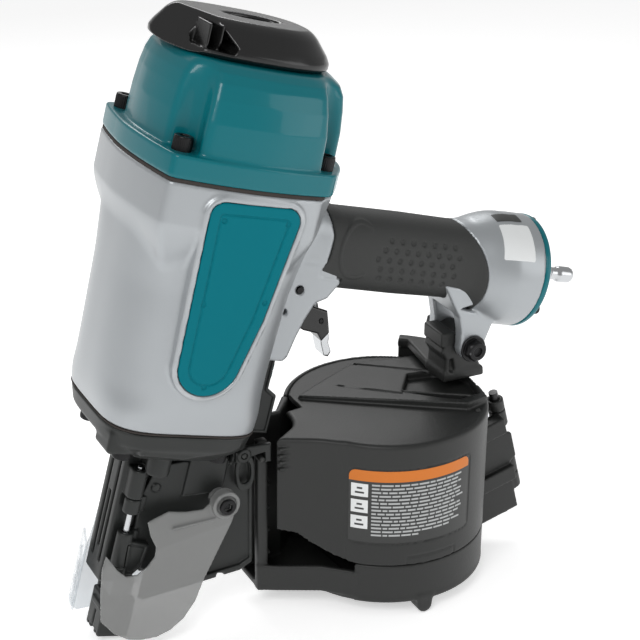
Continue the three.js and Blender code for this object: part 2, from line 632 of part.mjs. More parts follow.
function feedDoor() {
  const [hx, hy] = DOOR_HINGE;
  const skin = plate([
    [8, 31], [71, 51], [78.5, 58], [62, 122], [57, 131], ...arc(...LATCH_PIVOT, 5, 30, 170, 6), [46, 124],
    [16, 122], [0, 118], [-5.5, 99.7], [-5.5, 56.3], [8, 50],
  ], -15, -12.3);
  const guide = plate([[COLUMN.rear + 1, 38], [70, 54], [76, 60], [60, 120], [17, 118]], -12.6, -6);
  const knuckles = [[56.3, 77.7], [90.3, 99.7]].flatMap(([z0, z1]) => [
    rod([hx, hy, z0], [hx, hy, z1], 5, 16), box(hx, -4, -17, -12.4, z0, z1),
  ]);
  const lug = rod([LATCH_PIVOT[0], -17, LATCH_PIVOT[1]], [LATCH_PIVOT[0], -12.4, LATCH_PIVOT[1]], 5, 16);
  const latchStud = rod([LATCH_PIVOT[0], -22, LATCH_PIVOT[1]], [LATCH_PIVOT[0], -12.4, LATCH_PIVOT[1]], 1.8, 12);
  const pinHole = rod([hx, hy, 50], [hx, hy, 110], 1.8 + GAP, 12);
  const shieldHole = rod([LEFT_SHIELD_BOSS[0], -20, LEFT_SHIELD_BOSS[1]],
    [LEFT_SHIELD_BOSS[0], -7, LEFT_SHIELD_BOSS[1]], 2 + GAP, 10);
  return cut(join(skin, guide, lug, latchStud, ...knuckles), pinHole, shieldHole);
}

function shieldPlate(outline, side, boss) {
  const [inside, outside] = [27.6, 30];
  const sheet = side < 0 ? plate(outline, -outside, -inside) : plate(outline, inside, outside);
  const seat = (side < 0 ? 15 : COLUMN.half - 1) + GAP;
  const pillar = rod([boss[0], side * seat, boss[1]], [boss[0], side * (inside + 1), boss[1]], 6, 20);
  const hole = rod([boss[0], side * 5, boss[1]], [boss[0], side * 35, boss[1]], 2 + GAP, 12);
  return { sheet, pillar, hole };
}

const SHIELD_OUTLINE = [
  [-26, 44], [-30, 76], [-14, 80], [-4, 90], [7, 97], [34, 107], [46, 109], [51, 101], [40, 52], [36, 38],
  [26, 20], [12, 12], [2, 12], [-8, 22],
];

function leftShield() {
  const { sheet, pillar, hole } = shieldPlate(SHIELD_OUTLINE, -1, LEFT_SHIELD_BOSS);
  return cut(join(sheet, pillar), hole);
}

function rightShield() {
  const outline = [
    [-17, 9], [-11, 58], [-10, 78], [-4, 86], [34, 96], [50, 94], [44, 52], [28, 20], [10, 4], [-10, -1],
  ];
  const { sheet, pillar, hole } = shieldPlate(outline, 1, RIGHT_SHIELD_BOSS);
  const front = prism([[-17, 29], [-24, 6], [-22, 5.4], [-14.6, 29]], 12, 56);
  return cut(join(sheet, pillar, front), hole);
}

function shieldScrew([x, z], side) {
  const shank = rod([x, side * 8.5, z], [x, side * 31, z], 2, 12);
  const head = rod([x, side * (30 + GAP), z], [x, side * 33, z], 5, 18);
  const slot = rod([x, side * 31.6, z], [x, side * 34, z], 2.2, 6);
  return cut(join(shank, head), slot);
}

add(tool, 'feed_door', feedDoor(), blackMetal);
add(tool, 'door_hinge_pin', rod([...DOOR_HINGE, 47], [...DOOR_HINGE, 119.5], 1.8, 14), brightSteel);
add(tool, 'shield_left', leftShield(), clearShield);
add(tool, 'shield_right', rightShield(), clearShield);
add(tool, 'shield_screw_left', shieldScrew(LEFT_SHIELD_BOSS, -1), boltSteel);
add(tool, 'shield_screw_right', shieldScrew(RIGHT_SHIELD_BOSS, 1), boltSteel);

// Latch of the feed door, drawn level with the canister
const LATCH = { x: 83, z: 112, inside: -17.3, outside: -21 };

function doorLatch() {
  const { x, z, inside, outside } = LATCH;
  const bar = plate([[x - 5, z - 4], [x + 14, z - 1], [x + 14, z - 8], [x + 18, z - 8], [x + 18, z + 4],
    [x + 3, z + 5], [x - 5, z + 3]], outside, inside);
  const loop = plate(squircle(6.5, 6.5, 12, 2.2, 24).map(([u, v]) => [x + 1 + u, z - 12 + v]), outside, inside);
  const eye = plate(squircle(3.2, 3.2, 7.5, 2.2, 20).map(([u, v]) => [x + 1 + u, z - 14 + v]), -25, -15);
  return cut(join(bar, loop), eye, rod([x, -30, z], [x, 0, z], 1.8 + GAP, 12));
}

add(canister, 'door_latch', doorLatch(), blackMetal);

// Feeder: an air piston on the right of the nose draws the nails forward with its pawl
const FEED = { y: 19.8, z: 60, outside: 7.5, bore: 5.6 };

function feedCylinder() {
  const barrel = alongX(turned([
    [0, 87], [FEED.outside, 87], [FEED.outside, 48], [2.6, 48], [2.6, 51], [FEED.bore, 51],
    [FEED.bore, 83], [0, 83],
  ], 20)).translate(0, FEED.y, FEED.z);
  return cut(barrel, rod([80, FEED.y, FEED.z], [90, FEED.y, FEED.z], 1.2, 8));
}

function feedPiston() {
  return alongX(turned([
    [0, 38], [2.3, 38], [2.3, 51.3], [FEED.bore - GAP, 51.3], [FEED.bore - GAP, 57], [0, 57],
  ], 18)).translate(0, FEED.y, FEED.z);
}

function feedSpring() {
  return alongX(spring(3.8, 0.7, 57 + GAP, 83 - GAP, 6)).translate(0, FEED.y, FEED.z);
}

add(canister, 'feed_cylinder', feedCylinder(), blackMetal);
add(canister, 'feed_piston', feedPiston(), machinedAluminium);
add(canister, 'feed_pawl', box(33, 36.7, 1, 22, 57.5, 66), boltSteel);
add(canister, 'feed_spring', feedSpring(), brightSteel);

// Canister: a base with the fixed far wall, and a cover with the near wall that swings on the rear hinge
const INNER_R = CAN.radius - CAN.wall;
const COVER_BOTTOM_Z = CAN.top - 3.2;

function around(radius, from, to, count) {
  return arc(CAN.x, CAN.y, radius, from, to, count);
}

function wallSector(from, to, z0, z1, outside = CAN.radius, inside = INNER_R) {
  const count = Math.max(2, Math.ceil(Math.abs(to - from) / 10));
  return prism([...around(outside, from, to, count), ...around(inside, to, from, count)], z0, z1);
}

const hinge = new THREE.Group();
hinge.position.set(HINGE_FOOT[0], CAN.y, HINGE_FOOT[1]);
hinge.rotation.y = -LEAN;
hinge.updateMatrix();
const HINGE_LENGTH = Math.hypot(HINGE_HEAD[0] - HINGE_FOOT[0], HINGE_HEAD[1] - HINGE_FOOT[1]);

function hingeKnuckle(z0, z1, web) {
  const knuckle = rod([0, 0, z0], [0, 0, z1], HINGE_R + 2.6, 16);
  return join(knuckle, web).applyMatrix4(hinge.matrix);
}

const hingeBore = rod([0, 0, -30], [0, 0, 90], HINGE_R + GAP, 16).applyMatrix4(hinge.matrix);

function foot(y0, y1) {
  return plate([[180, 13], [180, 3], [182.5, 0], [187.5, 0], [190, 3], [190, 13]], y0, y1);
}

function magazineBase() {
  const floor = prism(around(CAN.radius, 0, 350, 35), CAN.bottom, 13);
  const lowWall = wallSector(226, 370, CAN.bottom, CAN.seam - GAP);
  const tallWall = wallSector(8, 150, CAN.bottom, CAN.top);
  const farThroat = prism([[132, 30], [120, 13.6], [94, 10], [94, 7.2], [122, 10.8], [135.5, 27]], 16, CAN.top);
  const throatFloor = prism([
    [94, -16], [94, 10], [120, 13.6], [134, 30], [146, 20], [150, -20], [146, -46], [128, -31], [104, -19],
  ], 12.5, 16.5);
  const nearThroat = prism([[94, -16], [104, -21.6], [128, -33.6], [146, -50], [147, -46], [129, -30.6],
    [104, -18.6], [94, -13]], 12.5, 30);
  const post = box(94, 101, -16, -10, 13, 116);
  const keeper = rod([94.8, -22, 106.5], [94.8, -15, 106.5], 1.8, 12);
  const keeperArm = box(94, 98, -17, -15, 104, 110);
  const lowerLug = hingeKnuckle(-8, 4, box(-36, -2, -6, 5, -22, 3.6));
  const upperLug = hingeKnuckle(54, 62, box(-21, -2, 1, 10, 54, 62));
  const boss = rod([CAN.x, CAN.y, 8], [CAN.x, CAN.y, 30], 3 + GAP, 16);
  const screwHole = radialRod(BRACKET_ANGLE, 55, 75, BRACKET_SCREW_Z, 2.5 + GAP);
  const inside = rod([CAN.x, CAN.y, 16.6], [CAN.x, CAN.y, 130], INNER_R - 0.3, 24);
  const shell = join(floor, lowWall, tallWall, farThroat, throatFloor, nearThroat, post, keeper, keeperArm,
    foot(-66.5, -54), foot(51, 62.8));
  return cut(cut(join(shell, lowerLug, upperLug), inside), hingeBore, boss, screwHole);
}

function magazineCover() {
  const lid = prism([
    ...around(CAN.radius, 215, 353, 14), ...around(INNER_R - 0.5, 6, 144, 13), [136.4, 26.2], [122.8, 10],
    [104, 7.5], [103, -18], [104, -21.6],
  ], COVER_BOTTOM_Z, CAN.top);
  const wall = wallSector(232, 352, CAN.seam + GAP, CAN.top - 1);
  const frontWall = wallSector(214, 233, 50, CAN.top - 1);
  const flap = prism([[104, -21.6], [134.8, -37.4], [137, -35.4], [104, -18.6]], 57.5, CAN.top - 1);
  const raised = prism([[139, 21], [227, -38], [243, -34], [248, 0], [237, 36], [190, 46], [156, 30]],
    CAN.top - 1, 123);
  const lowerKnuckle = hingeKnuckle(4.3, 16, box(-34, -2, -13, -3, 5, 16));
  const upperKnuckle = hingeKnuckle(42, 53.7, box(-24, -2, -13, -3, 42, 53.7));
  const inside = rod([CAN.x, CAN.y, 13], [CAN.x, CAN.y, COVER_BOTTOM_Z], INNER_R - 0.3, 24);
  const knuckles = cut(join(lowerKnuckle, upperKnuckle), inside);
  return cut(join(lid, wall, frontWall, flap, raised, knuckles), hingeBore);
}

function coilPlatform() {
  const hub = tube(11, 7 + GAP, 22, 44, 20);
  const disc = turned([[10, 30], [54, 32], [54, 34.4], [10, 34.4]], 32);
  return join(hub, disc).translate(CAN.x, CAN.y, 0);
}

function platformPost() {
  return turned([[0, 13 + GAP], [12, 13 + GAP], [12, 16], [7, 16], [7, 98], [5.5, 100], [0, 100]], 20)
    .translate(CAN.x, CAN.y, 0);
}

function postScrew() {
  const head = rod([CAN.x, CAN.y, 6.6], [CAN.x, CAN.y, CAN.bottom - GAP], 5.5, 16);
  const shank = rod([CAN.x, CAN.y, 8], [CAN.x, CAN.y, 13], 3, 12);
  const socket = rod([CAN.x, CAN.y, 6], [CAN.x, CAN.y, 8], 2.3, 6);
  return cut(join(head, shank), socket);
}

// Bracket between the far wall of the canister and the arm behind the handle
const BRACKET_ANGLE = 36;
const BRACKET_SCREW_Z = 104;
const BOLT_AT = {
  x: Math.cos(LEAN) * ARM_BOLT[0] + Math.sin(LEAN) * ARM_BOLT[1],
  z: Math.cos(LEAN) * ARM_BOLT[1] - Math.sin(LEAN) * ARM_BOLT[0],
};

function radialRod(angle, from, to, z, radius) {
  const [[x0, y0]] = around(from, angle, angle, 1);
  const [[x1, y1]] = around(to, angle, angle, 1);
  return rod([x0, y0, z], [x1, y1, z], radius, 12);
}

function magazineBracket() {
  const { x, z } = BOLT_AT;
  const tongue = plate([
    [x - 14, 127], [x - 17, z - 4], [x - 9, z + 5], ...arc(x, z, 9, 120, -30, 8), [x + 14, 127],
  ], -11.4, 11.4);
  const bridge = prism([
    [x - 14, -11.4], [x + 14, -11.4], ...around(70, 18, 54, 5), ...around(62, 54, 48, 1), [x - 14, 12],
  ], 126, 132);
  const leg = wallSector(18, 54, 92, 128, 70, CAN.radius + GAP);
  const screwHole = radialRod(BRACKET_ANGLE, 55, 75, BRACKET_SCREW_Z, 2.5 + GAP);
  return cut(join(tongue, bridge, leg), rod([x, -20, z], [x, 20, z], 4 + GAP, 14), screwHole);
}

function bracketScrew() {
  const shank = radialRod(BRACKET_ANGLE, 60, 71, BRACKET_SCREW_Z, 2.5);
  const head = radialRod(BRACKET_ANGLE, 70 + GAP, 73.5, BRACKET_SCREW_Z, 5);
  const socket = radialRod(BRACKET_ANGLE, 71.5, 75, BRACKET_SCREW_Z, 2.2);
  return cut(join(shank, head), socket);
}

function armBolt() {
  const { x, z } = BOLT_AT;
  const shank = rod([x, -22, z], [x, 29, z], 4, 14);
  const head = join(rod([x, -26, z], [x, -20 - GAP, z], 6.4, 6), rod([x, -21.6, z], [x, -20 - GAP, z], 8.4, 20));
  return join(shank, head);
}

function armNut() {
  const { x, z } = BOLT_AT;
  return cut(rod([x, 20 + GAP, z], [x, 27, z], 7, 6), rod([x, 15, z], [x, 30, z], 4 + GAP, 14));
}

add(canister, 'magazine_base', magazineBase(), blackPlastic);
add(canister, 'magazine_cover', magazineCover(), blackPlastic);
add(hinge, 'magazine_hinge_pin', rod([0, 0, -10], [0, 0, HINGE_LENGTH], HINGE_R, 16), boltSteel);
canister.add(hinge);
add(canister, 'coil_platform', coilPlatform(), blackPlastic);
add(canister, 'platform_post', platformPost(), blackPlastic);
add(canister, 'post_screw', postScrew(), boltSteel);
add(canister, 'magazine_bracket', magazineBracket(), blackPlastic);
add(canister, 'bracket_screw', bracketScrew(), boltSteel);
add(canister, 'arm_bolt', armBolt(), boltSteel);
add(canister, 'arm_nut', armNut(), boltSteel);

// The origin is under the middle of the whole tool, on the surface it stands on
model.updateMatrixWorld(true);
const bounds = new THREE.Box3().setFromObject(model, true);
model.position.set(-(bounds.min.x + bounds.max.x) / 2, -(bounds.min.y + bounds.max.y) / 2, -bounds.min.z);
model.updateMatrixWorld(true);

export default model;
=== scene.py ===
# Pneumatic coil nailer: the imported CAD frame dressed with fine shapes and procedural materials.
import math

import bpy
import numpy as np
from mathutils import Matrix, Vector


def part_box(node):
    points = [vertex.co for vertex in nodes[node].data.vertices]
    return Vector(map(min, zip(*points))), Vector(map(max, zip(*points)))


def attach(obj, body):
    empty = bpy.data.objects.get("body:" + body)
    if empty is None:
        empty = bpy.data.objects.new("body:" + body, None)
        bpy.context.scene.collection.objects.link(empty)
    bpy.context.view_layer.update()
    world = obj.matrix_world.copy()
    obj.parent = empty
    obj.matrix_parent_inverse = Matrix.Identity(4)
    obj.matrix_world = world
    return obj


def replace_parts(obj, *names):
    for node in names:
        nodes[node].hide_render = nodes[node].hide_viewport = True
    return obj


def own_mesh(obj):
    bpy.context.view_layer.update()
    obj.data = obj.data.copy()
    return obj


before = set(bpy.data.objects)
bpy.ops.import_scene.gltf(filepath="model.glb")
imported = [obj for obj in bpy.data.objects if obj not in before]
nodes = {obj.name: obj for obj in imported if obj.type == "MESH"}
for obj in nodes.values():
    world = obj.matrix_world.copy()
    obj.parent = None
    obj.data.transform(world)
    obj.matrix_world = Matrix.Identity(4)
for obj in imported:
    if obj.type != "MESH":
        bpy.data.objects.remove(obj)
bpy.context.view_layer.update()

MM = 0.001
LEAN = math.radians(15)  # the driver axis leans back in the standing tool
COS, SIN = math.cos(LEAN), math.sin(LEAN)
CAN = (188.9, -1.75)  # middle of the canister in the standing frame, mm
POST_FOOT_Z = 13.3
_low, _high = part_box("platform_post")
SHIFT = np.array([
    (_low.x + _high.x) / 2 / MM - CAN[0],
    (_low.y + _high.y) / 2 / MM - CAN[1],
    _low.z / MM - POST_FOOT_Z,
])


# ---------------------------------------------------------------- signed distances, mm
def polygon(u, v, points):
    """Distance to a closed outline, negative inside."""
    best = np.full(u.shape, 1e9, np.float32)
    inside = np.zeros(u.shape, bool)
    for (ax, ay), (bx, by) in zip(points, points[1:] + points[:1]):
        ex, ey = bx - ax, by - ay
        wx, wy = u - ax, v - ay
        t = np.clip((wx * ex + wy * ey) / (ex * ex + ey * ey), 0, 1)
        best = np.minimum(best, (wx - ex * t) ** 2 + (wy - ey * t) ** 2)
        crosses = (v >= min(ay, by)) & (v < max(ay, by))
        inside ^= crosses & ((ex * wy - ey * wx > 0) == (ey > 0))
    distance = np.sqrt(best)
    return np.where(inside, -distance, distance)


def extrude(flat, w, w0, w1, r=0.8):
    """A flat distance drawn out from w0 to w1, with its edges rounded by r."""
    a = flat + r
    b = np.abs(w - (w0 + w1) / 2) - (w1 - w0) / 2 + r
    return np.hypot(np.maximum(a, 0), np.maximum(b, 0)) + np.minimum(np.maximum(a, b), 0) - r


def box(x, y, z, x0, x1, y0, y1, z0, z1, r=0.8):
    flat = extrude(np.abs(x - (x0 + x1) / 2) - (x1 - x0) / 2, y, y0, y1, r)
    return extrude(flat, z, z0, z1, r)


def rod(x, y, z, start, end, radius, r=0.6, sides=0):
    """A round bar, or a prism of so many flats across."""
    a = np.array(start, float)
    axis = np.array(end, float) - a
    length = float(np.linalg.norm(axis))
    axis /= length
    px, py, pz = x - a[0], y - a[1], z - a[2]
    t = px * axis[0] + py * axis[1] + pz * axis[2]
    if not sides:
        return extrude(np.sqrt(np.maximum(px * px + py * py + pz * pz - t * t, 0)) - radius, t, 0, length, r)
    side = np.cross(axis, (0.3, 0.9, 0.1) if abs(axis[1]) < 0.8 else (0.9, 0.1, 0.3))
    side /= np.linalg.norm(side)
    other = np.cross(axis, side)
    u = px * side[0] + py * side[1] + pz * side[2]
    v = px * other[0] + py * other[1] + pz * other[2]
    flat = np.full(u.shape, -1e9, np.float32)
    for i in range(sides):
        turn = i * math.tau / sides
        flat = np.maximum(flat, u * math.cos(turn) + v * math.sin(turn) - radius)
    return extrude(flat, t, 0, length, r)


def loft(u, v, w, levels, r=1.0, soft=0.0):
    """Rounded squares up w from rows of (w, front, rear, half, power). soft smooths between the rows."""
    rows = np.array(levels, float)
    if soft:
        fine = np.linspace(rows[0, 0], rows[-1, 0], 300)
        step = fine[1] - fine[0]
        reach = int(3 * soft / step) + 1
        weight = np.exp(-0.5 * (np.arange(-reach, reach + 1) * step / soft) ** 2)
        weight /= weight.sum()
        columns = [np.convolve(np.pad(np.interp(fine, rows[:, 0], rows[:, i]), reach, "edge"), weight,
                               "valid") for i in range(1, 5)]
        rows = np.column_stack([fine] + columns)
    front, rear, half, power = (np.interp(w, rows[:, 0], rows[:, i]) for i in range(1, 5))
    reach = np.where(u > 0, rear, front)
    ratio = ((np.abs(u) / reach) ** power + (np.abs(v) / half) ** power) ** (1 / power)
    flat = np.hypot(u, v) * (1 - 1 / np.maximum(ratio, 1e-3))
    return extrude(flat, w, rows[0, 0], rows[-1, 0], r)


def fuse(a, b, k=1.0):
    """Union with a fillet of about k."""
    h = np.clip(0.5 + 0.5 * (b - a) / k, 0, 1)
    return b + (a - b) * h - k * h * (1 - h)


def carve(a, b, k=0.6):
    """a without b, with the edge eased by about k."""
    return -fuse(-a, b, k)


def meet(a, b, k=0.6):
    return -fuse(-a, -b, k)


def arc(cx, cy, radius, start, end, count):
    turns = [math.radians(start + (end - start) * i / count) for i in range(count + 1)]
    return [(cx + radius * math.cos(t), cy + radius * math.sin(t)) for t in turns]


# ---------------------------------------------------------------- surfaces from distances
BLOCK = 8
CORNERS = [(i, j, k) for i in (0, 1) for j in (0, 1) for k in (0, 1)]


def skin(field, low, high, cell):
    """Quads over the zero surface of a distance field, sampled only in the blocks that it passes through."""
    low = np.array(low, float) - 1.5 * cell
    counts = np.ceil((np.array(high, float) + 1.5 * cell - low) / (cell * BLOCK)).astype(int)
    blocks = np.stack(np.meshgrid(*[np.arange(n) for n in counts], indexing="ij"), -1).reshape(-1, 3)
    middle = (low + (blocks + 0.5) * cell * BLOCK).astype(np.float32)
    blocks = blocks[np.abs(field(*middle.T)) < cell * BLOCK * 1.25]
    grid = np.stack(np.meshgrid(*[np.arange(BLOCK + 1)] * 3, indexing="ij"), -1)
    index = blocks[:, None, None, None, :] * BLOCK + grid[None]
    place = (low + index * cell).astype(np.float32)
    value = np.concatenate([
        field(*part.reshape(-1, 3).T).reshape(part.shape[:-1])
        for part in np.array_split(place, max(1, len(place) // 600))
    ])
    inside = value < 0
    total = counts * BLOCK + 2

    def key(points):
        return (points[..., 0] * total[1] + points[..., 1]) * total[2] + points[..., 2]

    votes = sum(inside[:, i:BLOCK + i, j:BLOCK + j, k:BLOCK + k].astype(np.int8) for i, j, k in CORNERS)
    live = np.argwhere((votes > 0) & (votes < 8))
    b, i, j, k = live.T
    cells = index[b, i, j, k]
    sums, hits = np.zeros((len(live), 3)), np.zeros(len(live))
    for axis in range(3):
        step = [0, 0, 0]
        step[axis] = 1
        for corner in CORNERS:
            if corner[axis]:
                continue
            at = value[b, i + corner[0], j + corner[1], k + corner[2]]
            to = value[b, i + corner[0] + step[0], j + corner[1] + step[1], k + corner[2] + step[2]]
            cut = (at < 0) != (to < 0)
            share = np.where(cut, at / np.where(cut, at - to, 1), 0)
            point = np.array(corner)[None] + share[:, None] * np.array(step)[None]
            sums += np.where(cut[:, None], point, 0)
            hits += cut
    verts = (low + (cells + sums / hits[:, None]) * cell).astype(np.float32)
    order = np.argsort(key(cells))
    verts, known = verts[order], key(cells)[order]
    faces = []
    for axis in range(3):
        step = np.eye(3, dtype=int)[axis]
        first, second = np.eye(3, dtype=int)[(axis + 1) % 3], np.eye(3, dtype=int)[(axis + 2) % 3]
        near = inside[:, :BLOCK, :BLOCK, :BLOCK]
        far = inside[:, step[0]:BLOCK + step[0], step[1]:BLOCK + step[1], step[2]:BLOCK + step[2]]
        b, i, j, k = np.argwhere(near != far).T
        base = index[b, i, j, k]
        ring = np.stack([key(base), key(base - first), key(base - first - second), key(base - second)], 1)
        spot = np.minimum(np.searchsorted(known, ring), len(known) - 1)
        good = (known[spot] == ring).all(1)
        outward = near[b, i, j, k]
        faces.append(np.where(outward[:, None], spot, spot[:, ::-1])[good])
    faces = np.concatenate(faces)
    # settle the points on the surface itself, never further than half a cell
    start, h = verts.copy(), cell * 0.35
    for _ in range(3):
        slope = np.stack([
            (field(*(verts + h * d).T) - field(*(verts - h * d).T)) / (2 * h)
            for d in np.eye(3, dtype=np.float32)
        ], 1)
        steep = np.maximum((slope ** 2).sum(1), 0.05)
        verts = verts - 0.8 * slope * (field(*verts.T) / steep)[:, None]
        verts = np.clip(verts, start - 0.6 * cell, start + 0.6 * cell).astype(np.float32)
    return verts, faces


def to_row(verts, leaning):
    x, y, z = verts.T.astype(float)
    if leaning:
        x, z = COS * x + SIN * z, -SIN * x + COS * z
    return (np.stack([x, y, z], 1) + SHIFT) * MM


def mesh_from(name, verts, faces):
    mesh = bpy.data.meshes.new(name)
    mesh.vertices.add(len(verts))
    mesh.vertices.foreach_set("co", verts.astype(np.float32).ravel())
    sides = faces.shape[1]
    mesh.loops.add(len(faces) * sides)
    mesh.loops.foreach_set("vertex_index", faces.astype(np.int32).ravel())
    mesh.polygons.add(len(faces))
    mesh.polygons.foreach_set("loop_start", np.arange(0, len(faces) * sides, sides, dtype=np.int32))
    mesh.polygons.foreach_set("loop_total", np.full(len(faces), sides, np.int32))
    mesh.update(calc_edges=True)
    mesh.validate()
    mesh.polygons.foreach_set("use_smooth", np.ones(len(mesh.polygons), bool))
    return mesh


def piece(name, field, low, high, cell, material, body, stands_for=(), leaning=True, thin=1.0):
    """A named object over a distance field in the leaning tool frame, or in the standing one."""
    verts, faces = skin(field, low, high, cell)
    obj = bpy.data.objects.new(name, mesh_from(name, to_row(verts, leaning), faces))
    bpy.context.scene.collection.objects.link(obj)
    obj.data.materials.append(material)
    if thin < 1:
        modifier = obj.modifiers.new("thin", "DECIMATE")
        modifier.ratio = thin
    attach(obj, body)
    if stands_for:
        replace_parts(obj, *stands_for)


# ---------------------------------------------------------------- materials
def srgb(r, g, b):
    return tuple(((c / 255 + 0.055) / 1.055) ** 2.4 if c > 10 else c / 255 / 12.92 for c in (r, g,
        b)) + (1.0,)


def finish(name, color, rough, metallic=0.0, spread=0.04, grain=900.0, bump=0.05, coat=0.0, coat_rough=0.1,
           worn=None, wear=0.0, alpha=1.0, specular=0.5, coarse=0.0):
    """A procedural finish: colour drift, grain in the roughness and the surface, and wear on the edges."""
    material = bpy.data.materials.new(name)
    material.use_nodes = True
    tree = material.node_tree
    tree.nodes.clear()

    def node(kind, **inputs):
        made = tree.nodes.new(kind)
        for key, value in inputs.items():
            made.inputs[key.replace("_", " ")].default_value = value
        return made

    def link(a, out, b, into):
        tree.links.new(a.outputs[out], b.inputs[into])

    def compute(operation, *values):
        made = node("ShaderNodeMath")
        made.operation = operation
        for into, value in zip(made.inputs, values):
            if isinstance(value, float):
                into.default_value = value
            else:
                tree.links.new(value, into)
        return made.outputs[0]

    def noise(**inputs):
        made = node("ShaderNodeTexNoise", **inputs)
        link(place, "Object", made, "Vector")
        return made.outputs["Fac"]

    def mix(factor, a, b):
        made = node("ShaderNodeMix")
        made.data_type = "RGBA"
        tree.links.new(factor, made.inputs["Factor"])
        for into, value in (("A", a), ("B", b)):
            if isinstance(value, tuple):
                made.inputs[into].default_value = value
            else:
                tree.links.new(value, made.inputs[into])
        return next(o for o in made.outputs if o.type == "RGBA")

    def remap(value, **limits):
        made = node("ShaderNodeMapRange", **limits)
        tree.links.new(value, made.inputs["Value"])
        return made.outputs[0]

    output = node("ShaderNodeOutputMaterial")
    shader = node("ShaderNodeBsdfPrincipled", Metallic=metallic, Coat_Weight=coat, Coat_Roughness=coat_rough,
                  Specular_IOR_Level=specular, Alpha=alpha)
    link(shader, 0, output, 0)
    place = node("ShaderNodeTexCoord")
    fine = noise(Scale=grain, Detail=2.0, Roughness=0.6)
    blend = compute("MULTIPLY_ADD", noise(Scale=24.0, Detail=3.0), 0.6, compute("MULTIPLY", fine, 0.4))
    dark = tuple(c * (1 - spread) for c in color[:3]) + (1.0,)
    light = tuple(min(1, c * (1 + spread)) for c in color[:3]) + (1.0,)
    tone = mix(blend, dark, light)
    if wear:
        edge = remap(node("ShaderNodeNewGeometry").outputs["Pointiness"], From_Min=0.53, From_Max=0.62)
        patch = remap(noise(Scale=60.0, Detail=4.0), From_Min=0.45, From_Max=0.7, To_Max=wear)
        tone = mix(compute("MULTIPLY", edge, patch), tone, worn)
    tree.links.new(tone, shader.inputs["Base Color"])
    sheen = remap(blend, To_Min=max(0.02, rough * 0.86), To_Max=min(1.0, rough * 1.14))
    tree.links.new(sheen, shader.inputs["Roughness"])
    relief = node("ShaderNodeBump", Strength=bump, Distance=0.0003)
    height = compute("ADD", fine, noise(Scale=coarse, Detail=1.0)) if coarse else fine
    tree.links.new(height, relief.inputs["Height"])
    link(relief, 0, shader, "Normal")
    return material


SILVER = finish("silver_enamel", srgb(166, 170, 173), 0.36, metallic=0.5, spread=0.05, grain=2600, bump=0.10,
                coat=0.25, coat_rough=0.25, worn=srgb(225, 226, 226), wear=0.5)
TEAL = finish("teal_enamel", srgb(0, 104, 113), 0.3, spread=0.05, grain=1500, bump=0.03,
              coat=0.3, coat_rough=0.07, worn=srgb(60, 160, 165), wear=0.35, specular=0.2, coarse=120)
TEAL_PLATE = finish("teal_plate", srgb(0, 108, 120), 0.5, spread=0.04, grain=1800, bump=0.06, specular=0.08)
DEFLECTOR = finish("gloss_moulding", srgb(24, 24, 24), 0.22, spread=0.08, grain=1400, bump=0.06, coarse=200,
                   worn=srgb(90, 90, 90), wear=0.4)
NYLON = finish("grained_nylon", srgb(36, 37, 36), 0.46, spread=0.08, grain=2200, bump=0.2,
               worn=srgb(84, 84, 82), wear=0.35, coarse=500, specular=0.4)
BLACK_METAL = finish("blackened_steel", srgb(36, 38, 37), 0.42, metallic=0.3, spread=0.14, grain=1600,
                     bump=0.16, worn=srgb(120, 122, 120), wear=0.6, coarse=260)
GRIP = finish("grip_elastomer", srgb(46, 47, 46), 0.66, spread=0.09, grain=2400, bump=0.3, coarse=700,
              worn=srgb(84, 85, 84), wear=0.4)
SEAL = finish("seal_rubber", srgb(52, 46, 43), 0.85, spread=0.1, grain=1500, bump=0.2)
STEEL = finish("bright_steel", srgb(196, 198, 200), 0.22, metallic=1.0, spread=0.08, grain=1800, bump=0.08)
BOLT = finish("black_oxide", srgb(34, 34, 35), 0.34, metallic=0.7, spread=0.15, grain=1500, bump=0.12,
              worn=srgb(120, 120, 122), wear=0.7)
ALUMINIUM = finish("turned_aluminium", srgb(190, 193, 196), 0.3, metallic=0.9, spread=0.06, grain=1500,
                   bump=0.08)
URETHANE = finish("urethane", srgb(155, 59, 34), 0.5, spread=0.08, grain=800, bump=0.1)
SMOKE = finish("smoke_shield", srgb(136, 137, 136), 0.2, spread=0.03, grain=300, bump=0.0, alpha=0.7,
               coat=0.3, coat_rough=0.05)
CLEAR = finish("clear_shield", srgb(214, 222, 228), 0.1, spread=0.03, grain=300, bump=0.0, alpha=0.4,
               coat=0.4, coat_rough=0.04)
PAPER = finish("label_paper", srgb(226, 228, 228), 0.5, spread=0.02, grain=1200, bump=0.03)
INK = finish("label_ink", srgb(50, 51, 50), 0.5, spread=0.05, grain=1200, bump=0.03)
PAPER_GREY = finish("label_print", srgb(176, 178, 178), 0.5, spread=0.03, grain=1200, bump=0.03)
LABEL_BLACK = finish("label_ground", srgb(44, 45, 44), 0.42, spread=0.06, grain=1200, bump=0.04)
ORANGE = finish("label_orange", srgb(206, 112, 14), 0.45, spread=0.03, grain=1200, bump=0.03)


# ---------------------------------------------------------------- head
BOLT_REACH = 43
FOUR = [(-1, -1), (1, -1), (1, 1), (-1, 1)]
RIM_Z = 313
DOME_Z = 361.2


def bowed(x, y, front, rear, half, k, bow=1.0):
    """A square outline with bowed sides and the rear corners cut back."""
    side = np.abs(y) - half + 0.0027 * bow * x * x
    face = -x - front + (0.0021 * y + 0.03 * np.clip(y / 20, 0, 1)) * bow * y
    tail = x - rear + 0.003 * bow * y * y
    bevel = 0.832 * x + 0.555 * np.abs(y) - (rear + 2.5)
    return meet(meet(side, face, k), meet(tail, bevel, k + 3), k)


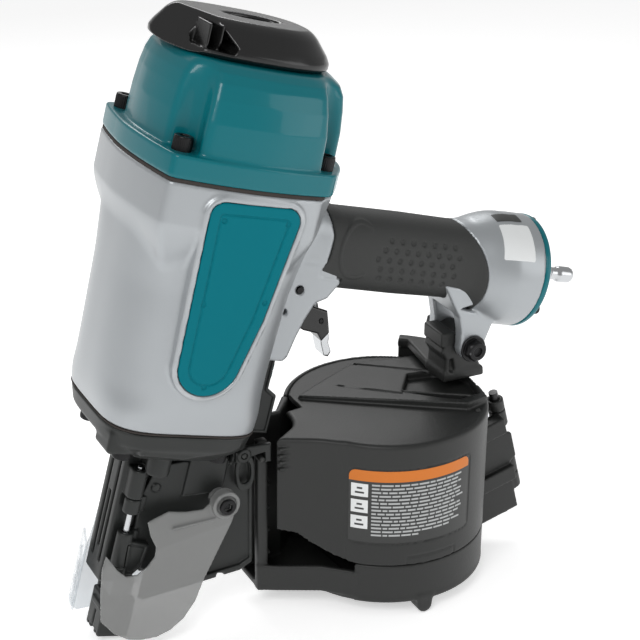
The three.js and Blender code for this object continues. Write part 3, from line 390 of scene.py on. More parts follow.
def head_cap(x, y, z):
    flange = extrude(bowed(x, y, 57, 66, 61, 3), z, 300.4, RIM_Z, 1.3)
    rows = [(306, 51.5, 64.5, 60), (332, 50.6, 63.6, 58.6), (344, 49.4, 62, 56), (352, 47.8, 60.3, 53),
            (357, 45.6, 57.4, 49.6), (DOME_Z, 41.6, 51, 44)]
    high = [row[0] for row in rows]
    front, rear, half = (np.interp(z, high, [row[i] for row in rows]) for i in (1, 2, 3))
    dome = extrude(bowed(x, y, front, rear, half, 12, 1.45), z, 306, DOME_Z, 1.6)
    for i, j in FOUR:
        well = np.hypot(x - i * (BOLT_REACH + 0.8), y - j * (BOLT_REACH + 0.8)) - 9.2
        dome = carve(dome, np.maximum(well, 308 - z), 6)
    return fuse(flange, dome, 1.8)


def socket_screw(x, y, z, low, high, radius, key):
    """A socket head on its axis, with a knurled rim and a hexagonal recess."""
    knurl = 0.16 * np.cos(30 * np.arctan2(y, x)) * (z < high - 1.2)
    body = extrude(np.hypot(x, y) - radius + knurl, z, low, high, 0.7)
    hexagon = np.maximum(np.maximum(np.abs(x), np.abs(x * 0.5 + y * 0.866)),
                         np.abs(x * 0.5 - y * 0.866)) - key
    return carve(body, np.maximum(hexagon, high - 3.6 - z), 0.3)


piece("enamel_cap", head_cap, (-58, -62, 299), (67, 62, 362), 1.0, TEAL, "tool", ["head_cap"])
piece("cap_gasket", lambda x, y, z: extrude(bowed(x, y, 56.5, 62.4, 60.5, 3), z, 298.1, 300.6, 0.4),
      (-58, -62, 297.5), (63, 62, 301), 0.9, SEAL, "tool", ["head_gasket"])
for number, (i, j) in enumerate(FOUR, 1):
    cx, cy = i * BOLT_REACH, j * BOLT_REACH
    piece(f"cap_bolt_{number}", lambda x, y, z, cx=cx, cy=cy: socket_screw(x - cx, y - cy, z, RIM_Z - 1,
        RIM_Z + 8, 5.3, 2.6), (cx - 6, cy - 6, RIM_Z - 2), (cx + 6, cy + 6, RIM_Z + 9), 0.4, BOLT, "tool",
          [f"head_bolt_{number}"])


def deflector(x, y, z):
    shell = loft(x, y, z, [(361.4, 50, 46.4, 36.4, 2.5), (363.4, 53, 48, 38.4, 2.5),
                           (366.4, 53.2, 48, 38.4, 2.5), (370, 51.4, 46, 36.4, 2.5),
                           (378, 46, 39, 30.4, 2.5), (381.6, 42.4, 34.6, 26, 2.5)], 2.2, 0.5)
    shell = meet(shell, (x + 49) * -0.769 + y * -0.331 + (z - 366.5) * 0.549, 0.5)
    mouth = polygon(x, z, [(-40.5, 365.6), (-22, 365), (-19.5, 368.4), (-26, 375.4), (-31, 377.6),
                           (-36, 377.8), (-39, 373.6)])
    shell = carve(shell, np.maximum(mouth, y + 15), 0.9)
    for fin_x in (-36.2, -29):
        rib = box(x, y, z, fin_x - 0.6, fin_x + 0.6, -32, -14, 364.5, 379, 0.4)
        slope = -(y + 32.5) - (z - 370) * 0.62 + (fin_x + 30) * 0.16
        shell = fuse(shell, np.maximum(rib, slope), 0.6)
    bowl = (((x - 1.5) / 17) ** 2 + (y / 7.6) ** 2) ** 0.5
    shell = carve(shell, np.maximum((bowl - 1) * 7.6, 378 - z), 1.6)
    return carve(shell, extrude(np.hypot(x, y) - 30, z, 355, 364, 1), 0.5)


piece("deflector_shell", deflector, (-56, -40, 361), (50, 40, 382.3), 0.8, DEFLECTOR, "deflector",
      ["exhaust_deflector"])
piece("deflector_bolt", lambda x, y, z: socket_screw(x, y, z, 375, 379.3, 5.5, 2.5), (-6, -6, 374.5),
      (6, 6, 380), 0.4, BOLT, "tool", ["deflector_screw"])


# ---------------------------------------------------------------- housing, handle and rear bell
DRAFT = math.radians(3.8)
PLATE = (arc(-18.4, 106.4, 8, 172, 95, 6) + arc(18.8, 106.6, 8.5, 85, -10, 7) + [(21.6, 49)]
         + arc(-3, 20, 18.5, -5, -170, 14))
REAR_Z = 255.3
BELL_R = 35.6
TRIGGER_PIN, LEVER_STOP = (61.3, 234.9), (54.8, 220.8)
REAR_ARM_HOLE = (192.4, 207.5)


def flank(y, z, side):
    """Height up the side plate and distance out of its plane."""
    out, rise = side * y - 52, z - 178
    return out * math.sin(DRAFT) + rise * math.cos(DRAFT), out * math.cos(DRAFT) - rise * math.sin(DRAFT)


def handle_shape(x, y, z):
    middle = np.interp(x, [38, 60, 84, 180, 192, 204], [266, 262, 258, 258, 256.6, REAR_Z])
    return loft(y, z - middle, x, [(30, 26, 26, 28, 2.6), (46, 21.5, 21.5, 24, 2.6), (60, 20, 20, 22, 2.6),
                                   (74, 20.3, 20.3, 23.3, 2.6), (84, 20.5, 20.5, 23.6, 2.6),
                                   (130, 21, 21, 24, 2.6), (168, 20.6, 20.6, 23.6, 2.5),
                                   (178, 23, 23, 26, 2.4), (186, 28, 28, 29.8, 2.3),
                                   (194, 32.4, 32.4, 33.4, 2.1), (201, 34.9, 34.9, 35.1, 2.03),
                                   (208, BELL_R, BELL_R, BELL_R, 2), (219.9, BELL_R, BELL_R, BELL_R, 2)],
                0.6, 2.0)


def grip_region(x, z):
    """Where the elastomer lies along the handle, negative inside."""
    front = 75.5 - 4 * np.exp(-((z - 247) / 6) ** 2) - np.clip((z - 270) / 12, 0, 1) * 4
    rear = 185.8 - 19.5 * np.clip((z - 236) / 48, 0, 1.2) ** 3
    return np.maximum(front - x, x - rear)


def housing(x, y, z):
    barrel = loft(x, y, z, [(152.4, 46, 48, 46, 4.4), (160, 48.5, 50, 48.5, 3.8), (172, 50, 51, 49.6, 3),
                            (190, 51, 51.6, 50.2, 2.8), (236, 52.6, 53.4, 51.6, 2.7), (262, 53.6, 56, 53, 3),
                            (298.2, 54, 59, 56, 4)], 1.0, 4)
    lift = np.clip((z - 246) / 30, 0, 1)
    inset = 15 * (1 - lift) ** 1.4
    crown = extrude(bowed(x, y, 57 - inset, 62.4 - inset, 61 - inset, 3.5), z, 246, 298.3, 0.8)
    body = fuse(barrel, crown, 2.6)
    for side in (-1, 1):
        up, out = flank(y, z, side)
        edge = polygon(x, up, PLATE)
        body = fuse(body, extrude(edge - 3.4, out, -15, 1.5, 0.9), 2.6)
        body = carve(body, extrude(edge - 0.5, out, -0.4, 9, 0.2), 0.4)
    handle = handle_shape(x, y, z)
    handle = carve(handle, np.maximum(grip_region(x, z) - 0.25, -handle - 1.6), 0.3)
    body = fuse(body, handle, 7)
    lug_line = polygon(x, z, [(38, 252), (84, 250), (87, 241), (81, 231), (74, 227.4), (70, 217), (67, 206),
                              (64.5, 193), (62, 190), (40, 190)])
    lugs = np.maximum(extrude(lug_line, np.abs(y), 13, 20, 1.6), np.where(x > 72, z - 243.4, -9))
    root = extrude(polygon(x, z, [(30, 262), (86, 252), (84, 241.5), (56, 242), (50, 200), (36, 182)]), y,
                   -19, 19, 1.6)
    body = fuse(body, fuse(lugs, root, 1.5), 3)
    for (px, pz), radius in ((TRIGGER_PIN, 2.6), (LEVER_STOP, 1.9)):
        body = carve(body, np.hypot(x - px, z - pz) - radius, 0.5)
    body = carve(body, box(x, y, z, 51, 95, -13, 13, 176, 243, 1), 0.8)
    arm = polygon(x, z, [(160, 246), (200, 243), (202.5, 226), (200.4, 212)]
                  + arc(*REAR_ARM_HOLE, 8.6, 10, -180, 10) + [(181.6, 216), (177, 226), (170, 234)])
    arm = extrude(arm, y, -20, 20, 1.4)
    hollow = polygon(x, z, [(177, 232), (200, 229.5), (206, 236), (196, 240)])
    arm = carve(arm, extrude(hollow, np.abs(y), 13, 30, 0.6), 2.4)
    body = fuse(body, arm, 2.6)
    body = carve(body, box(x, y, z, 170, 215, -12, 12, 188, 227, 1), 0.8)
    body = carve(body, np.hypot(x - REAR_ARM_HOLE[0], z - REAR_ARM_HOLE[1]) - 4.3, 0.4)
    return carve(body, extrude(np.hypot(y, z - REAR_Z) - 28, x, 200, 230, 0.5), 0.4)


def side_plate(side):
    def field(x, y, z):
        up, out = flank(y, z, side)
        edge = polygon(x, up, PLATE)
        plate = extrude(edge, out, -0.4, 1.5, 0.5)
        plate = carve(plate, np.maximum(np.abs(edge + 6.4) - 0.5, 0.9 - out), 0.4)
        for cx, cz in ((-17.5, 104.5), (20.5, 106.5), (-16.6, 56), (19.6, 60), (-3, 7)):
            plate = carve(plate, np.maximum(np.hypot(x - cx, up - cz) - 1.5, 0.7 - out), 0.4)
        return plate
    return field


def rubber(x, y, z):
    surface = handle_shape(x, y, z) - 0.35
    side = np.abs(y) > 9
    for row, (pz, start, count) in enumerate([(270.2, 114.6, 7), (264.4, 111.2, 8), (258.6, 107.5, 8),
                                              (252.6, 110.5, 8), (246.6, 111.6, 7)]):
        spot = np.clip(np.round((x - start) / 7.6), 0, count - 1)
        pit = np.sqrt((x - start - spot * 7.6) ** 2 + (z - pz) ** 2) - 1.55
        surface = np.where(side, carve(surface, np.maximum(pit, -surface - 0.9), 0.7), surface)
    thumb = np.abs(np.hypot((x - 94) / 12.5, (z - 262) / 16.5) - 1) * 14 - 0.9
    thumb = np.maximum(np.maximum(thumb, surface - 0.55), x - 101)
    surface = np.where(side, fuse(surface, thumb, 0.9), surface)
    shell = np.maximum(surface, -(surface + 3))
    shell = meet(shell, grip_region(x, z), 1.0)
    return carve(shell, box(x, y, z, 60, 88.2, -24, 24, 225, 243.8, 1), 0.5)


piece("casting", housing, (-58, -63, 151), (221, 63, 299), 1.2, SILVER, "tool", ["main_housing"])
for side, word in ((-1, "left"), (1, "right")):
    y0, y1 = sorted((side * 51, side * 62))
    piece(f"badge_plate_{word}", side_plate(side), (-26, y0, 177), (30, y1, 294), 0.6, TEAL_PLATE, "tool",
          [f"side_plate_{word}"], thin=0.5)
piece("rubber_grip", rubber, (70, -37, 228), (188, 37, 294), 0.75, GRIP, "tool", ["grip_sleeve"])


def end_ring(x, y, z):
    run = np.hypot(y, z - REAR_Z)
    disc = extrude(run - 35.7, x, 220.1, 224.2, 1.3)
    disc = carve(disc, extrude(np.abs(run - 24) - 7, x, 223.2, 230, 0.4), 1.0)
    for k in range(6):
        turn = k * math.tau / 6
        web = np.abs(y * math.cos(turn) - (z - REAR_Z) * math.sin(turn)) - 1.2
        disc = fuse(disc, np.maximum(extrude(web, x, 220.5, 224.1, 0.5), run - 32), 0.8)
    boss = extrude(run - 10.2, x, 221, 227.6, 1)
    return carve(fuse(disc, boss, 2), extrude(run - 5.4, x, 210, 230, 0.2), 0.4)


PLUG = [(2.5, 214), (5.4, 214), (5.4, 228), (6.9, 228.4), (7.1, 229), (7.1, 233.4), (6.6, 234), (4.6, 235),
        (4.4, 236), (4.4, 240.5), (4.8, 242), (6.3, 243.4), (6.5, 244), (6.5, 246.6), (6.1, 247.4),
        (4.2, 249), (4, 250), (4, 254), (5, 256), (5.2, 257), (5.2, 264.4), (4.6, 266), (3.8, 266.8),
        (2.5, 266.8)]


def on_bell(low, high, start, end, r):
    """A patch of the bell's side between two stations and two angles up from level."""
    def field(x, y, z):
        angle = np.degrees(np.arctan2(z - REAR_Z, -y))
        across = np.abs(x - (low + high) / 2) - (high - low) / 2
        along = (np.abs(angle - (start + end) / 2) - (end - start) / 2) * math.radians(1) * BELL_R
        surface = handle_shape(x, y, z)
        return np.maximum(extrude(across, along, -99, 0, r), np.abs(surface + 0.15) - 0.5)
    return field


piece("end_ring", end_ring, (219, -36.5, 219), (229, 36.5, 292), 0.8, TEAL, "tool", ["end_cap"],
      thin=0.6)
for number, angle in enumerate((90, 210, 330), 1):
    cy, cz = 31.7 * math.cos(math.radians(angle)), REAR_Z + 31.7 * math.sin(math.radians(angle))
    piece(f"ring_screw_{number}", lambda x, y, z, cy=cy, cz=cz: socket_screw(y - cy, z - cz, x, 222, 226.6,
        3.4, 1.5), (221, cy - 4, cz - 4), (227.5, cy + 4, cz + 4), 0.35, BOLT, "tool",
          [f"end_cap_screw_{number}"])
piece("hose_plug", lambda x, y, z: polygon(np.hypot(y, z - REAR_Z), x, PLUG), (213, -8, 247),
      (268, 8, 263.5), 0.5, STEEL, "tool", ["air_plug"], thin=0.6)
piece("notice_patch", on_bell(190.5, 211.5, 25, 66, 1.2), (186, -37, 262), (214, -10, 292), 0.45, PAPER,
      "tool", thin=0.4)
piece("date_patch", on_bell(191, 209, 71.5, 86, 0.8), (186, -14, 286), (212, 0, 293), 0.4, INK, "tool",
      thin=0.4)


# ---------------------------------------------------------------- trigger
def trigger(x, y, z):
    side = polygon(x, z, arc(*TRIGGER_PIN, 5.5, 30, 215, 8) + [(60.5, 216), (67, 211), (78, 206),
        (88, 204.6), (92, 200), (96, 206), (93.5, 213), (91, 219.5), (76, 222.5)])
    blank = extrude(side, y, -8, 8, 1.6)
    blank = carve(blank, extrude(polygon(x, z, [(50, 246), (92, 246), (92, 209), (76, 211.5), (64, 219),
                                                (50, 223)]), y, -5.4, 5.4, 0.6), 0.6)
    for groove_z in (209.5, 213, 216.5):
        cutter = np.abs(z - groove_z + (x - 75) * 0.28) - 0.5
        blank = carve(blank, np.maximum(cutter, x - 68), 0.5)
    return carve(blank, np.hypot(x - 88, z - 213) - 1.5, 0.3)


def trigger_blade(x, y, z):
    outline = polygon(x, z, [(90.6, 204), (93.5, 197), (97, 190.5), (100, 190), (101.2, 193), (99, 200.5),
                             (95.5, 206.5), (92, 207)])
    blade = extrude(outline, y, -6.4, 6.4, 1.2)
    return carve(blade, np.hypot(x - 104, z - 201) - 6.2, 1.5)


piece("trigger_body", trigger, (54, -9, 198), (98, 9, 242), 0.6, DEFLECTOR, "trigger", ["trigger"])
piece("trigger_blade", trigger_blade, (88, -7.5, 188), (103, 7.5, 209), 0.5, STEEL, "trigger")


# ---------------------------------------------------------------- nose
DOOR_HINGE = (-12, -18)
LINK_X = 60
LATCH_STUD = (51.2, 129.7)
LATCH_PIN = (83, 112)
SHIELD_SCREWS = {"left": (43, 101), "right": (43, 88)}
NOSE_BOLTS = [(-30, -27), (30, -27), (30, 27), (-30, 27)]


def nose(x, y, z):
    body = loft(x, y, z, [(131, 30, 37, 34, 4), (136, 38, 42, 39, 4), (141, 44, 47, 44, 4),
                          (150.7, 46, 48, 46, 4.4)], 1.2, 0.8)
    skirt = polygon(x, z, [(-25, 148), (-25, 136), (2, 134.5), (20, 138), (36, 143.5), (36, 148)])
    body = fuse(body, extrude(skirt, y, -42, -20, 2.5), 2)
    body = fuse(body, box(x, y, z, -43, -26, -36, -14, 134, 148, 2.5), 2)
    for bx, by in NOSE_BOLTS:
        body = fuse(body, extrude(np.hypot(x - bx, y - by) - 9, z, 136.5, 148, 1), 1.5)
        body = carve(body, extrude(np.hypot(x - bx, y - by) - 6.4, z, 115, 137, 0.2), 0.3)
        body = carve(body, extrude(np.hypot(x - bx, y - by) - 3.3, z, 130, 155, 0.2), 0.2)
    column = box(x, y, z, -19, 16, -12, 12, 41, 136, 1.5)
    for at in (-5.5, 5.5):
        column = carve(column, box(x, y, z, -22, -16.5, at - 1.5, at + 1.5, 52, 128, 0.5), 0.5)
    column = carve(column, box(x, y, z, -21, -14, -1.6, 1.6, 60, 96, 0.5), 0.5)
    body = fuse(body, column, 3)
    body = fuse(body, rod(x, y, z, (-4.6, -25, 118.5), (-4.6, -25, 134), 7, 1.2), 1.6)
    body = fuse(body, box(x, y, z, -10, 1, -25, -8, 120, 134, 1.5), 2)
    far = extrude(polygon(x, z, [(14, 38), (70, 53), (79, 58.6), (60, 130), (48, 136), (10, 136)]), y, 5, 11,
                  1)
    body = fuse(body, far, 2)
    for ax, az, bx, bz in ((20, 60, 66, 70), (20, 84, 62, 92), (20, 108, 58, 114)):
        body = fuse(body, rod(x, y, z, (ax, 11, az), (bx, 11, bz), 1.3, 0.4), 0.8)
    hinge = np.hypot(x - DOOR_HINGE[0], y - DOOR_HINGE[1])
    for z0, z1 in ((100, 118), (48, 56)):
        body = fuse(body, extrude(hinge - 5, z, z0, z1, 0.8), 1)
        body = fuse(body, box(x, y, z, -17, -7, -17, -8, z0, z1, 0.8), 1)
    body = carve(body, box(x, y, z, 0, 17, -13, 5, 40, 112, 0.3), 0.4)
    body = carve(body, extrude(np.hypot(x, y) - 5, z, 39, 152, 0.2), 0.3)
    body = carve(body, hinge - 2.1, 0.3)
    pawl = extrude(polygon(x, z, [(8, 60), (37, 68), (37, 91), (8, 84)]), y, 4, 13, 0.3)
    body = carve(body, pawl, 0.3)
    return carve(body, np.maximum(np.hypot(x - 43, z - 88) - 2.3, -y), 0.3)


piece("nose_casting", nose, (-47, -47, 40), (80, 47, 151), 1.0, BLACK_METAL, "tool", ["nose_body"],
      thin=0.7)
piece("seal_plate", lambda x, y, z: loft(x, y, z, [(151, 46.2, 48.2, 46.2, 4.6),
                                                   (152.1, 46.2, 48.2, 46.2, 4.6)], 0.4), (-47, -47, 150.5),
      (49, 47, 152.6), 0.7, SEAL, "tool", ["base_gasket"], thin=0.4)
for number, (bx, by) in enumerate(NOSE_BOLTS, 1):
    piece(f"flange_bolt_{number}", lambda x, y, z, bx=bx, by=by: np.minimum(socket_screw(x - bx, y - by, -z,
        -136.8, -129, 5.5, 2.6), rod(x, y, z, (bx, by, 136), (bx, by, 150), 3)), (bx - 6, by - 6, 128.5),
          (bx + 6, by + 6, 150.5), 0.5, BOLT, "tool", [f"nose_bolt_{number}"])
piece("boss_cap", lambda x, y, z: np.maximum(rod(x, y, z, (-4.6, -25, 134), (-4.6, -25, 137.5), 4.2, 0.5,
                                                 sides=6), np.hypot(x + 4.6, y + 25) - 4.6),
      (-10, -30, 133.5), (1, -20, 138), 0.4, BOLT, "tool")

DOOR = ([(8, 31), (71, 51), (78.5, 58), (62, 122), (57, 131)] + arc(*LATCH_STUD, 5, 30, 170, 8)
        + [(46, 124), (16, 122), (0, 118), (-5.5, 99.7), (-5.5, 56.3), (8, 50)])


def feed_door(x, y, z):
    outline = polygon(x, z, DOOR)
    body = extrude(outline, y, -15, -12.3, 0.8)
    rail = np.maximum(np.abs(outline + 2) - 1.2, 46 - x)
    body = fuse(body, extrude(rail, y, -16.4, -13, 0.6), 1)
    bottom = polygon(x, z, [(9, 31.5), (70, 51.3), (77, 57.5), (76, 61), (69, 55), (9, 35.5)])
    body = fuse(body, extrude(bottom, y, -17.6, -13, 0.7), 1)
    body = carve(body, box(x, y, z, 55, 60, -19, -10, 44, 49.5, 0.5), 0.5)
    guide = extrude(polygon(x, z, [(17, 38), (70, 54), (76, 60), (60, 120), (17, 118)]), y, -12.6, -6, 0.6)
    body = fuse(body, guide, 0.5)
    plate = polygon(x, z, [(19.5, 100), (45, 104), (44, 126), (19.5, 126)])
    body = fuse(body, extrude(plate, y, -17, -13, 1), 1)
    body = fuse(body, rod(x, y, z, (2, -16.4, 105), (2, -14, 105), 3, 1.2), 0.5)
    for head_y, radius, edge, blend in ((-17, 5, 0.8, 0.5), (-22, 1.8, 0.4, 0.3)):
        stud = rod(x, y, z, (LATCH_STUD[0], head_y, LATCH_STUD[1]), (LATCH_STUD[0], -12.4, LATCH_STUD[1]),
                   radius, edge)
        body = fuse(body, stud, blend)
    hinge = np.hypot(x - DOOR_HINGE[0], y - DOOR_HINGE[1])
    for z0, z1 in ((56.3, 77.7), (90.3, 99.7)):
        body = fuse(body, extrude(hinge - 5, z, z0, z1, 0.8), 1)
        body = fuse(body, box(x, y, z, -12, -3, -17, -12.4, z0, z1, 0.8), 1)
    pad = polygon(x, z, [(-13, 73.5), (3.5, 70.7), (1.6, 56), (-3, 50.5), (-8, 50), (-12, 55)])
    body = fuse(body, extrude(pad, y, -21.5, -14, 1.4), 1.2)
    body = carve(body, np.maximum(np.abs(pad + 2.2) - 0.45, y + 20.8), 0.4)
    body = carve(body, hinge - 2.1, 0.3)
    return carve(body, np.maximum(np.hypot(x - 43, z - 101) - 2.3, y + 5), 0.3)


piece("door_plate", feed_door, (-18, -24, 30), (80, -5, 136), 0.8, BLACK_METAL, "feed_door", ["feed_door"],
      thin=0.7)

LEFT_SHIELD = ([(-20, 24), (-24, 42), (-26.5, 58), (-25, 66), (-17, 58), (-11, 54), (-4, 55), (1, 60),
                (4.5, 67), (4, 73), (0, 79), (-3, 87), (2, 90), (9, 94), (20, 94.5), (30, 96.5), (36, 102)]
               + arc(*SHIELD_SCREWS["left"], 8.6, 130, 0, 6)
               + [(50, 94), (40, 52), (38, 38), (33, 26), (26, 18), (18, 13.4), (8, 11.6), (0, 12), (-10, 16)])
RIGHT_SHIELD = ([(-17, 9), (-11, 58), (-10, 78), (-4, 86), (33, 96)]
                + arc(*SHIELD_SCREWS["right"], 8.6, 95, 0, 6)
                + [(50, 84), (44, 52), (40, 34), (28, 20), (10, 4), (0, 1.5), (-10, -0.6), (-15, 3)])


def left_shield(x, y, z):
    above = (z - 73 - (x - 8) * 0.42) * 0.92
    middle = -29.2 + 0.26 * np.maximum(above, 0) + 0.05 * np.maximum(-10 - x, 0)
    outline = polygon(x, z, LEFT_SHIELD)
    sheet = extrude(outline, y - middle, -0.8, 0.8, 0.5)
    at = np.hypot(x - SHIELD_SCREWS["left"][0], z - SHIELD_SCREWS["left"][1])
    sheet = fuse(sheet, extrude(np.abs(at - 7.4) - 1.3, y, -30.2, -23, 0.6), 1)
    sheet = fuse(sheet, extrude(at - 6, y, -28.6, -15.4, 0.4), 0.8)
    sheet = fuse(sheet, extrude(polygon(x, z, [(12, 84), (38, 91.4), (38, 92.8), (12, 85.6)]), y, -29.6, -27,
                                0.5), 0.8)
    return carve(sheet, at - 2.4, 0.2)


def right_shield(x, y, z):
    outline = polygon(x, z, RIGHT_SHIELD)
    sheet = extrude(outline, y, 28, 29.6, 0.5)
    at = np.hypot(x - SHIELD_SCREWS["right"][0], z - SHIELD_SCREWS["right"][1])
    sheet = fuse(sheet, extrude(at - 6, y, 11.4, 29, 0.4), 0.8)
    sheet = fuse(sheet, extrude(np.abs(at - 7.4) - 1.3, y, 24, 30.2, 0.6), 1)
    front = extrude(polygon(x, y, [(-17, 29.4), (-24, 6), (-22.6, 5.6), (-15.2, 29.4)]), z, 12, 56, 0.5)
    for level in (20, 30, 40):
        slit = np.abs(z - level - (y - 17) * 0.9) - 0.8
        front = carve(front, np.maximum(slit, np.abs(y - 17) - 7), 0.3)
    return carve(fuse(sheet, front, 1.2), at - 2.4, 0.2)


piece("debris_shield_left", left_shield, (-31, -31, 10), (53, -14, 111), 0.8, SMOKE, "feed_door",
      ["shield_left"], thin=0.6)
piece("debris_shield_right", right_shield, (-26, 4, -1), (53, 31, 99), 0.8, CLEAR, "tool", ["shield_right"],
      thin=0.6)
for word, side, body in (("left", -1, "feed_door"), ("right", 1, "tool")):
    at = SHIELD_SCREWS[word]
    y0, y1 = sorted((side * 8.5, side * 33))
    piece(f"shield_bolt_{word}",
          lambda x, y, z, side=side, at=at: np.minimum(
              socket_screw(x - at[0], z - at[1], side * y, 30.3, 32.8, 5, 2.4),
              rod(x, side * y, z, (at[0], 8.5, at[1]), (at[0], 31, at[1]), 2, 0.4)),
          (at[0] - 6, y0 - 0.5, at[1] - 6), (at[0] + 6, y1 + 0.5, at[1] + 6), 0.45, BOLT, body,
          [f"shield_screw_{word}"])


def contact_arm(x, y, z):
    ring = carve(box(x, y, z, -11, 9, -10, 10, 2.4, 28, 1.2),
                 box(x, y, z, -8.4, 7.4, -7.4, 7.4, -5, 40, 0.8), 0.4)
    for at in (-6, -2, 2, 6):
        ring = carve(ring, box(x, y, z, -14, 14, at - 0.8, at + 0.8, 0, 4.8, 0.3), 0.3)
    ring = carve(ring, box(x, y, z, -13, -8, -1, 1, 0, 16, 0.4), 0.3)
    ring = fuse(ring, box(x, y, z, -12, -10.4, -7, 7, 19, 23, 0.5), 0.6)
    strap = polygon(x, z, [(-6, 18), (6, 18), (6, 88), (12, 98), (56, 104), (64, 108), (64, 174), (56, 174),
                           (56, 114), (8, 107), (-6, 92)])
    arm = extrude(strap, y, 13.2, 15.7, 0.6)
    arm = fuse(arm, extrude(strap + 2.6, y, 15, 16.3, 0.4), 0.5)
    arm = fuse(arm, box(x, y, z, 56, 64, -4, 14.2, 166, 172, 0.8), 0.8)
    arm = fuse(arm, rod(x, y, z, (LINK_X, 0, 168), (LINK_X, 0, 200), 3, 0.6), 0.4)
    thread = 0.22 * np.cos((z - 184) * math.tau / 1.4) * (np.abs(z - 178) < 14)
    arm = np.maximum(arm, np.where((z > 172.5) & (np.hypot(x - LINK_X, y) < 6),
                                   np.hypot(x - LINK_X, y) - 2.8 + thread, -9))
    return fuse(fuse(ring, box(x, y, z, -6, 6, 9, 15.7, 18, 28, 0.8), 0.8), arm, 0.8)


piece("contact_foot", contact_arm, (-13, -11, 1.5), (66, 17, 201), 0.75, BLACK_METAL, "contact_arm",
      ["contact_arm"], thin=0.7)


def depth_wheel(x, y, z):
    run, turn = np.hypot(x - LINK_X, y), np.arctan2(y, x - LINK_X)
    wheel = extrude(run - 7.2 + 0.35 * np.cos(24 * turn), z, 173.2, 182.8, 0.8)
    wheel = carve(wheel, extrude(np.abs(run - 8) - 1.2, z, 177.4, 178.6, 0.2), 0.2)
    return carve(wheel, run - 3.3, 0.2)


piece("depth_dial", depth_wheel, (52, -8, 172.5), (68, 8, 183.5), 0.4, TEAL, "depth_wheel", ["depth_wheel"],
      thin=0.6)


def arm_guide(x, y, z):
    wall = polygon(x, z, [(50.5, 141), (67.4, 141), (67.4, 166), (61, 170), (61, 197), (66, 201), (53, 201),
                          (53, 170), (50.5, 166)])
    body = extrude(wall, y, -12.4, -9.6, 0.8)
    rim = np.abs(wall + 1.2) - 0.9
    body = fuse(body, extrude(rim, y, -13.6, -11, 0.5), 0.5)
    body = fuse(body, box(x, y, z, 54, 66, -12, 10, 197.3, 201, 0.8), 0.8)
    body = fuse(body, box(x, y, z, 52, 67, -12, 8, 141, 144.8, 0.8), 0.8)
    return carve(body, np.maximum(np.hypot(x - LINK_X, y) - 3.3, 160 - z), 0.2)


piece("link_guide", arm_guide, (49.5, -14.5, 140), (68.5, 11, 202), 0.6, BLACK_METAL, "tool", ["arm_guide"],
      thin=0.7)
piece("drive_shoe", lambda x, y, z: carve(fuse(box(x, y, z, -8, 7, -7, 7, 12, 40.7, 1),
                                               box(x, y, z, -8, 7, -5, 5, 10.5, 14, 0.6), 0.8),
                                          np.hypot(x, y) - 4.6, 0.3), (-9, -8, 10), (8, 8, 41), 0.5, STEEL,
      "tool", ["drive_guide"], thin=0.6)


def door_latch(x, y, z):
    bar = polygon(x, z, [(78, 108), (78, 115), (86, 117), (101, 116), (101, 104), (97, 104), (97, 111),
                         (88, 110)])
    body = extrude(bar, y, -21, -17.4, 1)
    loop = (np.abs(((np.abs(x - 84) / 5) ** 2.4 + (np.abs(z - 100) / 10) ** 2.4) ** (1 / 2.4) - 1) * 5) - 1.2
    body = fuse(body, extrude(loop, y, -20.6, -17.9, 0.8), 0.8)
    body = fuse(body, extrude(np.hypot(x - LATCH_PIN[0], z - LATCH_PIN[1]) - 4.4, y, -22, -17.4, 0.8), 0.8)
    return carve(body, np.hypot(x - LATCH_PIN[0], z - LATCH_PIN[1]) - 2.1, 0.3)


piece("latch_loop", door_latch, (76, -23, 88), (103, -16.5, 119), 0.5, BLACK_METAL, "door_latch",
      ["door_latch"], leaning=False)


# ---------------------------------------------------------------- springs
def coil_spring(name, place, radius, wire, low, high, turns, leaning, body):
    angle = np.linspace(0, turns * math.tau, turns * 30 + 1)
    taper = np.concatenate([[0], np.ones(len(angle) - 2), [0]])
    w = low + wire + (high - low - 2 * wire) * angle / angle[-1]
    around_wire = np.linspace(0, math.tau, 8, endpoint=False)
    run = radius + wire * taper[:, None] * np.cos(around_wire)
    level = w[:, None] + wire * taper[:, None] * np.sin(around_wire)
    u, v = run * np.cos(angle)[:, None], run * np.sin(angle)[:, None]
    first = (np.arange(len(angle) - 1)[:, None] * 8 + np.arange(8)[None]).ravel()
    after = (np.arange(len(angle) - 1)[:, None] * 8 + (np.arange(8)[None] + 1) % 8).ravel()
    verts = to_row(np.stack(place(u.ravel(), v.ravel(), level.ravel()), 1), leaning)
    faces = np.stack([first, after, after + 8, first + 8], 1)
    obj = bpy.data.objects.new(name, mesh_from(name, verts, faces))
    bpy.context.scene.collection.objects.link(obj)
    obj.data.materials.append(STEEL)
    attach(obj, body)
    ends = to_row(np.array([place(0.0, 0.0, low), place(0.0, 0.0, high)]), leaning)
    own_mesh(obj)
    return obj


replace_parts(coil_spring("valve_spring", lambda u, v, w: (u, v, w), 20.5, 1.2, 307.4, 344.6, 5, True, "tool"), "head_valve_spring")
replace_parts(coil_spring("pawl_spring", lambda u, v, w: (w, 19.8 + u, 60 + v), 3.8, 0.7, 57.4, 82.6, 6, False,
                        "tool"), "feed_spring")


